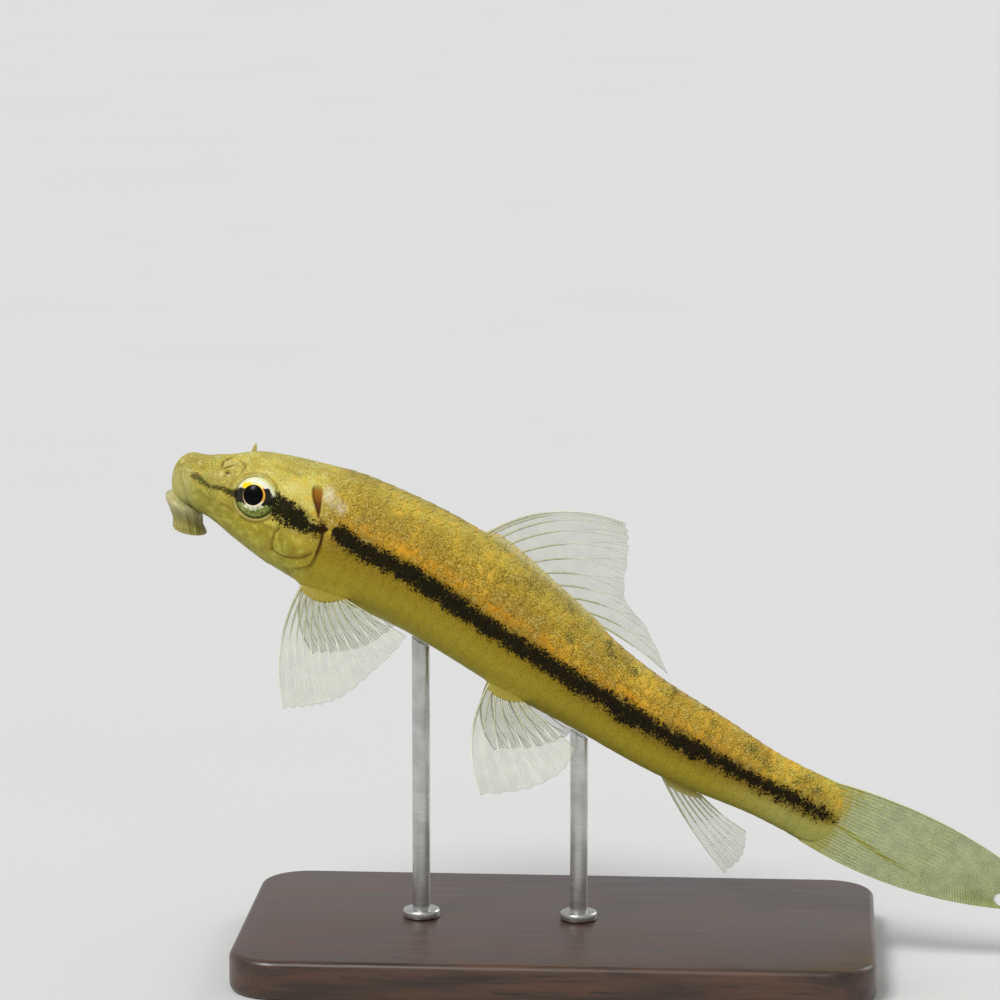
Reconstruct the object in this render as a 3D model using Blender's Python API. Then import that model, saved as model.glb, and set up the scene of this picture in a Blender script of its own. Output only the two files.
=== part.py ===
"""A young Chinese algae eater, Gyrinocheilus aymonieri, as a still life-size model on a display stand.

The fish climbs nose up towards -X with its fins spread, its left side towards -Y. The origin is the
centre of the stand's underside. Sizes are in millimetres until mesh_object turns them into metres.
A place on the body is a distance along the spine from the snout and a turn in degrees round it,
from 0 at the back to 180 at the belly, positive on the fish's left.
"""

import math

import bmesh
import bpy
import numpy as np
from mathutils import Matrix, Vector

MM = 0.001
GAP = 0.3  # clear space between pieces that touch

# Spine and body
SNOUT = (-39.0, 48.9)  # x and z of the snout's tip
SPINE_SLOPES = ((0, 4), (10, 21), (22, 23), (36, 36), (50, 34), (60, 27.5), (80, 26.5))
NOSE_LENGTH = 2.4  # stretch over which the snout rounds off
NOSE_BLUNTNESS = 2.2  # exponent of its curve
BODY_LENGTH = 75.0
# Distance along the spine, height above it, depth below it and half width
BODY_SIZES = (
    (0.0, 2.90, 2.30, 2.90),
    (2.0, 2.90, 2.50, 3.15),
    (4.5, 3.25, 3.15, 3.50),
    (8.0, 4.75, 4.45, 4.15),
    (13.0, 5.70, 5.70, 5.10),
    (19.0, 6.40, 6.40, 5.10),
    (30.0, 6.30, 6.30, 4.80),
    (40.0, 5.75, 5.75, 4.10),
    (50.5, 4.65, 4.60, 2.90),
    (60.0, 4.20, 4.15, 2.00),
    (69.0, 3.40, 3.40, 1.30),
    (80.0, 3.60, 3.60, 0.70),
)
BACK_ROUNDNESS = 2.05  # exponent of the section's curve over the back
BELLY_ROUNDNESS = 2.45  # and under the belly, which is flatter
HEAD_END = 15.2
TORSO_END = 53.0
HEAD_STEPS, HEAD_SIDES = 22, 40
TORSO_STEPS, TORSO_SIDES = 18, 32
TAIL_STEPS, TAIL_SIDES = 11, 24
SNOUT_CROWDING = 1.7  # exponent that sets the head's rings closer where the snout rounds off
FIRST_RING = 0.012  # distance of the snout's first ring
MIDDLE_RADIUS = 5.0  # of the body, for turning a width on it into degrees

# Eyes
EYE_CENTRE = (-30.0, 3.3, 47.7)  # x, distance from the middle plane, z
EYE_RADIUS = 2.25
EYE_HALF_THICKNESS = 1.65
EYE_FORWARD, EYE_UPWARD = 8, 6  # degrees that the eye looks forward and up
EYE_SIDES, EYE_RINGS = 20, 12

# Sucker mouth, thick lips that reach down from a root under the snout to the rim of a cup
MOUTH_ROOT = (-37.95, 47.0)  # x and z of the middle of the root
MOUTH_ROOT_SLOPE = 26  # degrees that the root drops towards the tail
MOUTH_RIM = (-37.25, 43.75)
MOUTH_RIM_SLOPE = 12
MOUTH_WIDENING = 1.45  # width over length
# Share of the way from root to rim, and half length, over the lip and down into the cup
MOUTH_PROFILE = (
    (0.0, 1.55),
    (0.07, 1.86),
    (0.2, 2.0),
    (0.45, 1.72),
    (0.72, 1.5),
    (0.92, 1.62),
    (1.0, 1.66),
    (1.04, 1.5),
    (0.98, 1.2),
    (0.84, 0.85),
    (0.76, 0.45),
)
OUTER_PROFILE_POINTS = 6  # how many of them lie on the outside of the lip
CUP_BOTTOM = 0.73
MOUTH_SIDES = 32

# Gill covers
GILL_CENTRE = (14.2, 103)  # distance and turn
GILL_HALF_LENGTH, GILL_HALF_TURN = 2.1, 33
GILL_LOWER_GROWTH = 0.1  # how much longer the cover is below than in its middle, as a share
GILL_RAISE, GILL_DEPTH = 0.12, 1.1  # above and below the head's surface
GILL_SIDES, GILL_RINGS = 28, 4
GILL_SQUARENESS = 0.8  # exponent of its outline, 1 for an ellipse
RECESS_HEIGHT = 3.0  # how far the cutter for its recess stands out of the head
SLIT_PLACE = (14.7, 62)  # the upper gill opening
SLIT_RADII = (0.5, 0.8, 1.7)  # along the body, into it and up it

# Nostrils
NOSTRILS = ((5.5, 54), (6.5, 36))  # distance and turn of the front and rear one
NOSTRIL_RADIUS = 0.36
FLAP_LENGTH, FLAP_WIDTH, FLAP_THICKNESS = 1.5, 1.1, 0.5
FLAP_PLACE = (5.8, 43)
RAISED_FLAP_PLACE = (7.0, -32)
FLAP_LEAN = 0.45  # how far a lying flap points out of the skin, against 1 along it
FLAP_SHOWING = 0.22  # share of a flap's length that its middle stands over the skin

# Fins
MEMBRANE_HALF = 0.26
RAY_HALF = 0.42
TIP_SHARE = 0.55  # of the thickness that is left at the margin
RAY_FOOT = 0.3  # half width of a ray's ridge, against the space from one ray to the next
FLESHY_LENGTH = 0.3  # share of a paired fin's length over which its root thins
MARGIN_NOTCH = 0.035  # how far the membrane stops short of the ray tips, as a share of their length
FIN_ROWS = 7
CAUDAL_HALF_ROOT = 3.65
CAUDAL_BEND = 0.055  # arch of the outer rays, as a share of their length
CAUDAL_SWAY = 0.9  # how far the fin's end turns to the fish's right
PAIRED_LIFT = (0.8, 0.3)  # how far the tips of a paired fin curl out and up

# Stand
BASE_SIZE = (64.0, 36.0, 4.0)
BASE_CORNER = 5.0
BASE_BEVEL = 0.7
ROD_RADIUS = 0.9
ROD_PLACES = (("front", -14.0), ("rear", 2.0))
SOCKET_DEPTH = 2.0
ROD_SIDES = 16


def curve_through(knots):
    """A smooth function through knots of (place, value, ...), level where the values turn."""
    places = np.array([knot[0] for knot in knots], float)
    values = np.array([knot[1:] for knot in knots], float)
    steps = np.diff(places)[:, None]
    rises = np.diff(values, axis=0) / steps
    slopes = np.vstack([rises[:1], np.zeros((len(knots) - 2, values.shape[1])), rises[-1:]])
    for i in range(1, len(knots) - 1):
        same_way = rises[i - 1] * rises[i] > 0
        total = np.where(same_way, rises[i - 1] + rises[i], 1)
        slopes[i] = np.where(same_way, 2 * rises[i - 1] * rises[i] / total, 0)

    def at(place):
        place = min(max(place, places[0]), places[-1])
        i = min(int(np.searchsorted(places, place, side="right")) - 1, len(places) - 2)
        step = steps[i][0]
        u = (place - places[i]) / step
        value = (
            (2 * u**3 - 3 * u**2 + 1) * values[i]
            + (u**3 - 2 * u**2 + u) * step * slopes[i]
            + (3 * u**2 - 2 * u**3) * values[i + 1]
            + (u**3 - u**2) * step * slopes[i + 1]
        )
        return value if len(value) > 1 else float(value[0])

    return at


def integrate_spine(step=0.1, end=80.0):
    """Distances along the spine with the x, z and slope reached at each."""
    slope_at = curve_through(SPINE_SLOPES)
    places = [(0.0, *SNOUT, math.radians(slope_at(0)))]
    for i in range(round(end / step)):
        distance, x, z, slope = places[-1]
        following = math.radians(slope_at(distance + step))
        middle = (slope + following) / 2
        x, z = x + step * math.cos(middle), z - step * math.sin(middle)
        places.append((distance + step, x, z, following))
    return np.array(places)


SPINE = integrate_spine()
sizes_at = curve_through(BODY_SIZES)


def spine(distance):
    """Point on the spine, the way towards the tail and the way up from it."""
    x, z, slope = (np.interp(distance, SPINE[:, 0], SPINE[:, k]) for k in (1, 2, 3))
    along = np.array([math.cos(slope), 0, -math.sin(slope)])
    up = np.array([math.sin(slope), 0, math.cos(slope)])
    return np.array([x, 0, z]), along, up


def surface(distance, turn):
    """Point on the body at a distance from the snout and a turn round the spine."""
    point, _, up = spine(distance)
    above, below, half_width = sizes_at(distance)
    if distance < NOSE_LENGTH:
        rounding = max(1 - (1 - distance / NOSE_LENGTH) ** NOSE_BLUNTNESS, 0) ** (1 / NOSE_BLUNTNESS)
        above, below, half_width = rounding * above, rounding * below, rounding * half_width
    angle = math.radians(turn)
    lowness = (1 - math.cos(angle)) / 2
    power = 2 / (BACK_ROUNDNESS + (BELLY_ROUNDNESS - BACK_ROUNDNESS) * lowness)
    height = math.copysign(abs(math.cos(angle)) ** power, math.cos(angle))
    side = math.copysign(abs(math.sin(angle)) ** power, math.sin(angle))
    height *= above if height > 0 else below
    return point + up * height + np.array([0, -side * half_width, 0])


def skin(distance, turn, out=0.0):
    """Point at a height out over the body's surface, square to it."""
    point = surface(distance, turn)
    if not out:
        return point
    lengthwise = surface(distance + 0.05, turn) - surface(distance - 0.05, turn)
    around = surface(distance, turn + 0.5) - surface(distance, turn - 0.5)
    normal = np.cross(lengthwise, around)
    normal /= np.linalg.norm(normal)
    if normal @ (point - spine(distance)[0]) < 0:
        normal = -normal
    return point + out * normal


def clear_scene():
    for item in list(bpy.data.objects):
        bpy.data.objects.remove(item, do_unlink=True)


def make_material(name, colour, roughness, metallic=0.0):
    material = bpy.data.materials.new(name)
    material.use_nodes = True
    shader = material.node_tree.nodes["Principled BSDF"]
    shader.inputs["Base Color"].default_value = (*colour, 1)
    shader.inputs["Roughness"].default_value = roughness
    shader.inputs["Metallic"].default_value = metallic
    return material


def mesh_object(name, bm, material, keep_angle=50):
    """The bmesh as an object in metres, triangulated, with its faces outwards."""
    bmesh.ops.recalc_face_normals(bm, faces=bm.faces[:])
    if bm.calc_volume(signed=True) < 0:
        bmesh.ops.reverse_faces(bm, faces=bm.faces[:])
    bmesh.ops.scale(bm, vec=(MM, MM, MM), verts=bm.verts[:])
    mesh = bpy.data.meshes.new(name)
    bm.to_mesh(mesh)
    bm.free()
    item = bpy.data.objects.new(name, mesh)
    bpy.context.scene.collection.objects.link(item)
    mesh.materials.append(material)
    mesh.shade_smooth()
    mesh.set_sharp_from_angle(angle=math.radians(keep_angle))
    return item


def combine(item, tool, operation):
    """Applies one exact Boolean to item and removes the tool."""
    tool.hide_render = True
    tool.display_type = "WIRE"
    modifier = item.modifiers.new(operation.title(), "BOOLEAN")
    modifier.operation = operation
    modifier.solver = "EXACT"
    modifier.object = tool
    bpy.context.view_layer.update()
    graph = bpy.context.evaluated_depsgraph_get()
    mesh = bpy.data.meshes.new_from_object(item.evaluated_get(graph))
    item.modifiers.remove(modifier)
    item.data = mesh
    bpy.data.objects.remove(tool, do_unlink=True)


def keep_largest(item):
    """Keeps only the largest closed surface of a mesh that Booleans have cut."""
    bm = bmesh.new()
    bm.from_mesh(item.data)
    bmesh.ops.remove_doubles(bm, verts=bm.verts[:], dist=0.002 * MM)
    bmesh.ops.triangulate(bm, faces=bm.faces[:])
    left = set(bm.verts)
    shells = []
    while left:
        shell = {left.pop()}
        waiting = list(shell)
        while waiting:
            vert = waiting.pop()
            found = {edge.other_vert(vert) for edge in vert.link_edges} & left
            left -= found
            shell |= found
            waiting += found
        shells.append(shell)
    shells.sort(key=len, reverse=True)
    spare = [vert for shell in shells[1:] for vert in shell]
    bmesh.ops.delete(bm, geom=spare, context="VERTS")
    bm.to_mesh(item.data)
    bm.free()


def add_ring(bm, points):
    return [bm.verts.new(point) for point in points]


def bridge_rings(bm, rings):
    """Two triangles between neighbouring points of each pair of closed rings."""
    for ring, following in zip(rings, rings[1:]):
        for i in range(len(ring)):
            j = (i + 1) % len(ring)
            bm.faces.new((ring[i], ring[j], following[j]))
            bm.faces.new((ring[i], following[j], following[i]))


def cap_ring(bm, ring, centre):
    middle = bm.verts.new(centre)
    for i in range(len(ring)):
        bm.faces.new((ring[i], ring[(i + 1) % len(ring)], middle))


def body_piece(name, material, start, end, steps, sides):
    """A length of the body between two flat ends square to the spine."""
    bm = bmesh.new()
    crowding = SNOUT_CROWDING if start == 0 else 1
    rings = []
    for i in range(steps + 1):
        distance = max(start + (end - start) * (i / steps) ** crowding, FIRST_RING)
        rings.append(add_ring(bm, [surface(distance, 360 * k / sides) for k in range(sides)]))
    bridge_rings(bm, rings)
    cap_ring(bm, rings[0], spine(start)[0])
    cap_ring(bm, rings[-1], spine(end)[0])
    return mesh_object(name, bm, material)


def ellipsoid(name, material, centre, axes, radii, sides=16, rings=10):
    """An ellipsoid whose own z axis is axes[2]."""
    bm = bmesh.new()
    rotation = Matrix([Vector(axis) for axis in axes]).transposed().to_4x4()
    place = Matrix.Translation(Vector(centre)) @ rotation @ Matrix.Diagonal((*radii, 1))
    bmesh.ops.create_uvsphere(bm, u_segments=sides, v_segments=rings, radius=1, matrix=place)
    bmesh.ops.triangulate(bm, faces=bm.faces[:])
    return mesh_object(name, bm, material)


def frame_along(axis, near=(0, 0, 1)):
    """Three unit axes square to each other, the last of them along axis."""
    axis = Vector(axis).normalized()
    first = Vector(near).cross(axis).normalized()
    return first, axis.cross(first), axis


def eye_shape(name, material, side, extra=0.0):
    x, off, z = EYE_CENTRE
    forward, upward = math.radians(EYE_FORWARD), math.radians(EYE_UPWARD)
    axis = (-math.sin(forward), side * math.cos(forward) * math.cos(upward), math.sin(upward))
    radii = (EYE_RADIUS + extra, EYE_RADIUS + extra, EYE_HALF_THICKNESS + extra)
    return ellipsoid(name, material, (x, side * off, z), frame_along(axis), radii, EYE_SIDES, EYE_RINGS)


def mouth_shape(name, material, extra=0.0):
    """The sucker's cup, or with extra the pocket that clears it."""
    bm = bmesh.new()
    profile, bottom = MOUTH_PROFILE, CUP_BOTTOM
    if extra:
        rise = extra / math.dist(MOUTH_ROOT, MOUTH_RIM)
        profile = [(-rise, MOUTH_PROFILE[0][1] + extra)]
        outer = MOUTH_PROFILE[:OUTER_PROFILE_POINTS]
        profile += [(share, half_length + extra) for share, half_length in outer]
        bottom = profile[-1][0]

    def centre(share):
        x, z = (a + (b - a) * share for a, b in zip(MOUTH_ROOT, MOUTH_RIM))
        return np.array([x, 0, z])

    rings = []
    for share, half_length in profile:
        slope = math.radians(MOUTH_ROOT_SLOPE + (MOUTH_RIM_SLOPE - MOUTH_ROOT_SLOPE) * share)
        back = np.array([math.cos(slope), 0, -math.sin(slope)])
        points = []
        for k in range(MOUTH_SIDES):
            angle = 2 * math.pi * k / MOUTH_SIDES
            side = np.array([0, half_length * MOUTH_WIDENING * math.sin(angle), 0])
            points.append(centre(share) + back * half_length * math.cos(angle) + side)
        rings.append(add_ring(bm, points))
    bridge_rings(bm, rings)
    cap_ring(bm, rings[0], centre(profile[0][0]))
    cap_ring(bm, rings[-1], centre(bottom))
    return mesh_object(name, bm, material)


def gill_shape(name, material, side, extra=0.0):
    """The gill cover as a curved plate, or with extra the recess that clears it."""
    distance, turn = GILL_CENTRE
    raise_by = RECESS_HEIGHT if extra else GILL_RAISE
    sink_by = GILL_DEPTH + extra
    turn_extra = math.degrees(extra / MIDDLE_RADIUS)
    bm = bmesh.new()
    shells = []
    for out in (raise_by, -sink_by):
        rings = []
        for r in range(1, GILL_RINGS + 1):
            points = []
            for k in range(GILL_SIDES):
                angle = 2 * math.pi * k / GILL_SIDES
                share = r / GILL_RINGS
                length = math.copysign(abs(math.cos(angle)) ** GILL_SQUARENESS, math.cos(angle))
                height = math.copysign(abs(math.sin(angle)) ** GILL_SQUARENESS, math.sin(angle))
                length *= share * (GILL_HALF_LENGTH + extra) * (1 + GILL_LOWER_GROWTH * height)
                height *= share * (GILL_HALF_TURN + turn_extra)
                points.append(skin(distance + length, side * (turn + height), out))
            rings.append(add_ring(bm, points))
        bridge_rings(bm, rings)
        cap_ring(bm, rings[0], skin(distance, side * turn, out))
        shells.append(rings[-1])
    bridge_rings(bm, shells)
    return mesh_object(name, bm, material)


def slit_shape(material, side):
    """The cutter for the upper gill opening, an upright wedge behind the cheek."""
    distance, turn = SLIT_PLACE
    centre = skin(distance, side * turn)
    outward = Vector(skin(distance, side * turn, 1.0) - centre)
    upward = Vector((0, 0, 1))
    along = upward.cross(outward).normalized()
    axes = (along, outward, along.cross(outward))
    return ellipsoid("slit", material, centre, axes, SLIT_RADII, 14, 10)


def nasal_flap(material, place, raised):
    """The small flap between the nostrils, lying back or standing up."""
    root = skin(*place, 0.0)
    outward = skin(*place, 1.0) - root
    _, along, _ = spine(place[0])
    lean = outward if raised else FLAP_LEAN * outward + along
    axis = Vector(lean).normalized()
    radii = (FLAP_THICKNESS / 2, FLAP_WIDTH / 2, FLAP_LENGTH / 2)
    across = Vector(outward) if not raised else Vector(along)
    second = axis.cross(across).normalized()
    first = second.cross(axis)
    centre = Vector(root) + axis * FLAP_LENGTH * FLAP_SHOWING
    return ellipsoid("flap", material, centre, (first, second, axis), radii, 10, 8)


def sheet(name, material, middles, halves, root_pair):
    """A closed thin sheet round a grid of middle points, alike in its triangles on both faces.

    middles and halves are given by column and row. root_pair gives both points of a column's root.
    """
    middles = np.array(middles)
    halves = np.array(halves)
    along = np.gradient(middles, axis=1)
    across = np.gradient(middles, axis=0)
    normals = np.cross(across, along)
    normals /= np.linalg.norm(normals, axis=2)[..., None]
    faces = [middles + side * halves[..., None] * normals for side in (1, -1)]
    for column in range(len(middles)):
        one, other = root_pair(column, halves[column, 0])
        if (one - other) @ normals[column, 0] < 0:
            one, other = other, one
        faces[0][column, 0], faces[1][column, 0] = one, other
    bm = bmesh.new()
    grids = [[add_ring(bm, column) for column in face] for face in faces]
    columns, rows = len(middles), len(middles[0])
    for grid in grids:
        for i in range(columns - 1):
            for j in range(rows - 1):
                bm.faces.new((grid[i][j], grid[i + 1][j], grid[i + 1][j + 1]))
                bm.faces.new((grid[i][j], grid[i + 1][j + 1], grid[i][j + 1]))
    border = [(i, 0) for i in range(columns)]
    border += [(columns - 1, j) for j in range(1, rows)]
    border += [(i, rows - 1) for i in range(columns - 2, -1, -1)]
    border += [(0, j) for j in range(rows - 2, 0, -1)]
    front, back = ([grid[i][j] for i, j in border] for grid in grids)
    bridge_rings(bm, (front, back))
    return mesh_object(name, bm, material, keep_angle=35)


def fan_columns(rays):
    """Shares of the fan's width for the columns, each with True on a ray's crest."""
    foot = RAY_FOOT / (rays - 1)
    columns = []
    for i in range(rays):
        share = i / (rays - 1)
        if i:
            columns.append((share - foot, False))
        columns.append((share, True))
        if i < rays - 1:
            columns.append((share + foot, False))
    return columns


def fan_fin(name, material, rays, root, ray_point, root_pair, fleshy=0.0, rows=FIN_ROWS):
    """A fin of rays and membrane.

    root gives the middle of the root at a share of the width, ray_point(share, start, v) the point
    at share v of the ray's length, and root_pair(share, half) the root's two sides.
    """
    columns = fan_columns(rays)
    middles, halves = [], []
    for share, crest in columns:
        start = root(share)
        column, thickness = [], []
        for row in range(rows + 1):
            v = row / rows
            reach = v if crest else v * (1 - MARGIN_NOTCH * v)
            column.append(ray_point(share, start, reach))
            half = (RAY_HALF if crest else MEMBRANE_HALF) * (1 - (1 - TIP_SHARE) * v)
            thickness.append(half + fleshy * max(1 - v / FLESHY_LENGTH, 0) ** 2)
        middles.append(column)
        halves.append(thickness)
    shares = [share for share, _ in columns]
    return sheet(name, material, middles, halves, lambda column, half: root_pair(shares[column], half))


def middle_fin(name, material, rays, distance_at, turn, length_at, heading_at, bend):
    """A fin on the middle plane, on the back at turn 0 or under the belly at turn 180.

    distance_at, length_at, heading_at in degrees above level, and bend take a share of the width.
    """
    outward = 1 if turn == 0 else -1

    def root(share):
        return skin(distance_at(share), turn, GAP)

    def ray_point(share, start, v):
        heading = math.radians(heading_at(share))
        ahead = np.array([math.cos(heading), 0, math.sin(heading)])
        bulge = outward * np.array([-math.sin(heading), 0, math.cos(heading)])
        arch = 4 * bend(share) * v * (1 - v)
        return start + length_at(share) * (v * ahead + arch * bulge)

    def root_pair(share, half):
        middle = root(share)
        return middle + np.array([0, half, 0]), middle - np.array([0, half, 0])

    return fan_fin(name, material, rays, root, ray_point, root_pair)


def dorsal_fin(material):
    return middle_fin(
        "dorsal_fin",
        material,
        rays=11,
        distance_at=lambda share: 30.5 + 14.6 * share**1.65,
        turn=0,
        length_at=curve_through(
            ((0, 14.0), (0.2, 13.2), (0.4, 11.3), (0.6, 8.5), (0.7, 7.6), (0.8, 8.2), (1, 8.1))
        ),
        heading_at=curve_through(((0, 4), (0.3, 4), (0.4, 3), (0.5, -2), (0.6, -9), (0.8, -21), (1, -34.5))),
        bend=curve_through(((0, 0.12), (0.2, 0.118), (0.4, 0.07), (0.8, 0.062), (1, 0.03))),
    )


def anal_fin(material):
    return middle_fin(
        "anal_fin",
        material,
        rays=7,
        distance_at=lambda share: 58.7 + 4.1 * share,
        turn=180,
        length_at=curve_through(((0, 11.4), (0.4, 9.6), (1, 5.6))),
        heading_at=curve_through(((0, -57), (1, -38))),
        bend=lambda share: 0.03,
    )


def caudal_fin(material):
    """The tail fin, half closed, so that its outer rays close in on the middle ones."""
    centre, _, up = spine(BODY_LENGTH + GAP)
    lengths = curve_through(((0, 22.4), (0.5, 18.7), (1, 20.4)))
    headings = curve_through(((0, -28.5), (0.5, -26.0), (1, -17.5)))

    def root(share):
        return centre + up * CAUDAL_HALF_ROOT * (1 - 2 * share)

    def ray_point(share, start, v):
        heading = math.radians(headings(share))
        ahead = np.array([math.cos(heading), 0, math.sin(heading)])
        bulge = np.array([-math.sin(heading), 0, math.cos(heading)])
        arch = 4 * CAUDAL_BEND * (1 - 2 * share) * v * (1 - v)
        sway = np.array([0, CAUDAL_SWAY * v**2, 0])
        return start + lengths(share) * (v * ahead + arch * bulge) + sway

    def root_pair(share, half):
        return root(share) + np.array([0, half, 0]), root(share) - np.array([0, half, 0])

    return fan_fin("caudal_fin", material, 13, root, ray_point, root_pair, rows=8)


def paired_fin(name, material, side, rays, start, end, lengths, sweeps, outs, bend, fleshy):
    """A pectoral or pelvic fin, whose root runs over the flank from one distance and turn to another.

    sweeps are degrees behind straight down, and outs are degrees out from it.
    """
    length_at, sweep_at, out_at = curve_through(lengths), curve_through(sweeps), curve_through(outs)

    def place(share):
        return tuple(a + (b - a) * share for a, b in zip(start, end))

    def root(share):
        distance, turn = place(share)
        return skin(distance, side * turn, GAP)

    def ray_point(share, first, v):
        sweep, out = math.radians(sweep_at(share)), math.radians(out_at(share))
        level = -side * math.sin(out)
        ahead = np.array([math.sin(sweep), level * math.cos(sweep), -math.cos(out) * math.cos(sweep)])
        forward = np.array([-math.cos(sweep), level * math.sin(sweep), -math.cos(out) * math.sin(sweep)])
        arch = 4 * bend * (1 - share) * v * (1 - v)
        lift = np.array([0, -side * PAIRED_LIFT[0], PAIRED_LIFT[1]]) * v**2
        return first + length_at(share) * (v * ahead + arch * forward) + lift

    def root_pair(share, half):
        distance, turn = place(share)
        spread = math.degrees(half / MIDDLE_RADIUS)
        return (skin(distance, side * (turn + way * spread), GAP) for way in (1, -1))

    return fan_fin(name, material, rays, root, ray_point, root_pair, fleshy)


def pectoral_fin(side_name, side, material):
    return paired_fin(
        f"pectoral_fin_{side_name}",
        material,
        side,
        rays=13,
        start=(16.4, 150),
        end=(20.8, 140),
        lengths=((0, 14.4), (0.45, 12.9), (0.75, 10.2), (1, 8.2)),
        sweeps=((0, -3), (0.45, 11), (0.75, 30), (1, 55)),
        outs=((0, 40), (1, 46)),
        bend=0.09,
        fleshy=0.35,
    )


def pelvic_fin(side_name, side, material):
    return paired_fin(
        f"pelvic_fin_{side_name}",
        material,
        side,
        rays=9,
        start=(39.0, 155),
        end=(42.6, 148),
        lengths=((0, 12.2), (0.65, 10.3), (1, 8.0)),
        sweeps=((0, -1), (0.65, 31), (1, 46)),
        outs=((0, 34), (1, 40)),
        bend=0.11,
        fleshy=0.2,
    )


def stand_base(material):
    """A flat slab with rounded corners, with a socket for each rod."""
    bm = bmesh.new()
    length, width, height = BASE_SIZE
    place = Matrix.Translation((0, 0, height / 2)) @ Matrix.Diagonal((length, width, height, 1))
    bmesh.ops.create_cube(bm, size=1, matrix=place)
    corners = [edge for edge in bm.edges if abs(edge.verts[0].co.z - edge.verts[1].co.z) > height / 2]
    bmesh.ops.bevel(bm, geom=corners, offset=BASE_CORNER, segments=6, profile=0.5, affect="EDGES")
    rims = [edge for edge in bm.edges if abs(edge.verts[0].co.z - edge.verts[1].co.z) < 1e-6]
    bmesh.ops.bevel(bm, geom=rims, offset=BASE_BEVEL, segments=2, profile=0.5, affect="EDGES")
    bmesh.ops.triangulate(bm, faces=bm.faces[:])
    base = mesh_object("stand_base", bm, material)
    for _, x in ROD_PLACES:
        socket = cylinder("socket", material, x, ROD_RADIUS + GAP, height - SOCKET_DEPTH, height + 2)
        combine(base, socket, "DIFFERENCE")
    keep_largest(base)
    return base


def cylinder(name, material, x, radius, bottom, top, top_slope=0.0):
    """An upright cylinder on the middle plane, with its top cut at a slope in degrees towards +X."""
    bm = bmesh.new()
    middle = (top + bottom) / 2
    bmesh.ops.create_cone(
        bm,
        cap_ends=True,
        segments=ROD_SIDES,
        radius1=radius,
        radius2=radius,
        depth=top - bottom,
        matrix=Matrix.Translation((x, 0, middle)),
    )
    for vert in bm.verts:
        if vert.co.z > middle:
            vert.co.z -= (vert.co.x - x) * math.tan(math.radians(top_slope))
    bmesh.ops.triangulate(bm, faces=bm.faces[:])
    return mesh_object(name, bm, material)


def stand_rod(name, x, material):
    """A rod from its socket up to the belly, with its end cut along the belly."""
    distances = np.arange(HEAD_END, TORSO_END, 0.1)
    belly = np.array([surface(distance, 180) for distance in distances])
    under = np.interp(x, belly[:, 0], belly[:, 2])
    behind = np.interp(x + 1, belly[:, 0], belly[:, 2])
    slope = math.degrees(math.atan(under - behind))
    top = under - GAP / math.cos(math.radians(slope))
    bottom = BASE_SIZE[2] - SOCKET_DEPTH + GAP
    return cylinder(f"stand_rod_{name}", material, x, ROD_RADIUS, bottom, top, slope)


def nostril_shape(material, side, distance, turn):
    """The cutter for a nostril's pit."""
    centre = skin(distance, side * turn, NOSTRIL_RADIUS / 4)
    axes = frame_along((0, 0, 1), (0, 1, 0))
    return ellipsoid("pit", material, centre, axes, (NOSTRIL_RADIUS,) * 3, 10, 6)


def head_with_features(skin_material):
    """The head, with its sockets, nostrils, gill recesses and the pocket for the mouth."""
    head = body_piece("head", skin_material, 0, HEAD_END - GAP / 2, HEAD_STEPS, HEAD_SIDES)
    for side in (1, -1):
        combine(head, eye_shape("socket", skin_material, side, GAP), "DIFFERENCE")
        combine(head, gill_shape("recess", skin_material, side, GAP), "DIFFERENCE")
        combine(head, slit_shape(skin_material, side), "DIFFERENCE")
        for place in NOSTRILS:
            combine(head, nostril_shape(skin_material, side, *place), "DIFFERENCE")
    combine(head, mouth_shape("pocket", skin_material, GAP), "DIFFERENCE")
    combine(head, nasal_flap(skin_material, FLAP_PLACE, False), "UNION")
    combine(head, nasal_flap(skin_material, RAISED_FLAP_PLACE, True), "UNION")
    keep_largest(head)
    return head


def build():
    clear_scene()
    skin_material = make_material("skin", (0.24, 0.19, 0.06), 0.45)
    fin_material = make_material("fin_membrane", (0.50, 0.52, 0.36), 0.35)
    eye_material = make_material("eye", (0.75, 0.62, 0.22), 0.1)
    lip_material = make_material("lips", (0.36, 0.36, 0.18), 0.4)
    base_material = make_material("stand_base", (0.035, 0.03, 0.028), 0.35)
    rod_material = make_material("stand_rod", (0.6, 0.6, 0.6), 0.25, 1.0)
    head_with_features(skin_material)
    start, end = HEAD_END + GAP / 2, TORSO_END - GAP / 2
    torso = body_piece("torso", skin_material, start, end, TORSO_STEPS, TORSO_SIDES)
    body_piece("tail", skin_material, end + GAP, BODY_LENGTH, TAIL_STEPS, TAIL_SIDES)
    for side_name, side in (("left", 1), ("right", -1)):
        combine(torso, gill_shape("recess", skin_material, side, GAP), "DIFFERENCE")
        combine(torso, slit_shape(skin_material, side), "DIFFERENCE")
        gill_shape(f"gill_cover_{side_name}", skin_material, side)
        eye_shape(f"eye_{side_name}", eye_material, -side)
        pectoral_fin(side_name, side, fin_material)
        pelvic_fin(side_name, side, fin_material)
    keep_largest(torso)
    mouth_shape("mouth_disc", lip_material)
    dorsal_fin(fin_material)
    anal_fin(fin_material)
    caudal_fin(fin_material)
    stand_base(base_material)
    for name, x in ROD_PLACES:
        stand_rod(name, x, rod_material)


build()
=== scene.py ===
"""A young Chinese algae eater, climbing nose up with its fins spread, on its display stand.

The fish's body is worked out from the same spine and sizes as its solids, in millimetres. A place
on it is a distance along the spine from the snout, and a turn in degrees round it, from 0 at the
back to 180 at the belly, positive on the fish's left. Meshes are in metres.
"""

import math

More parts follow.
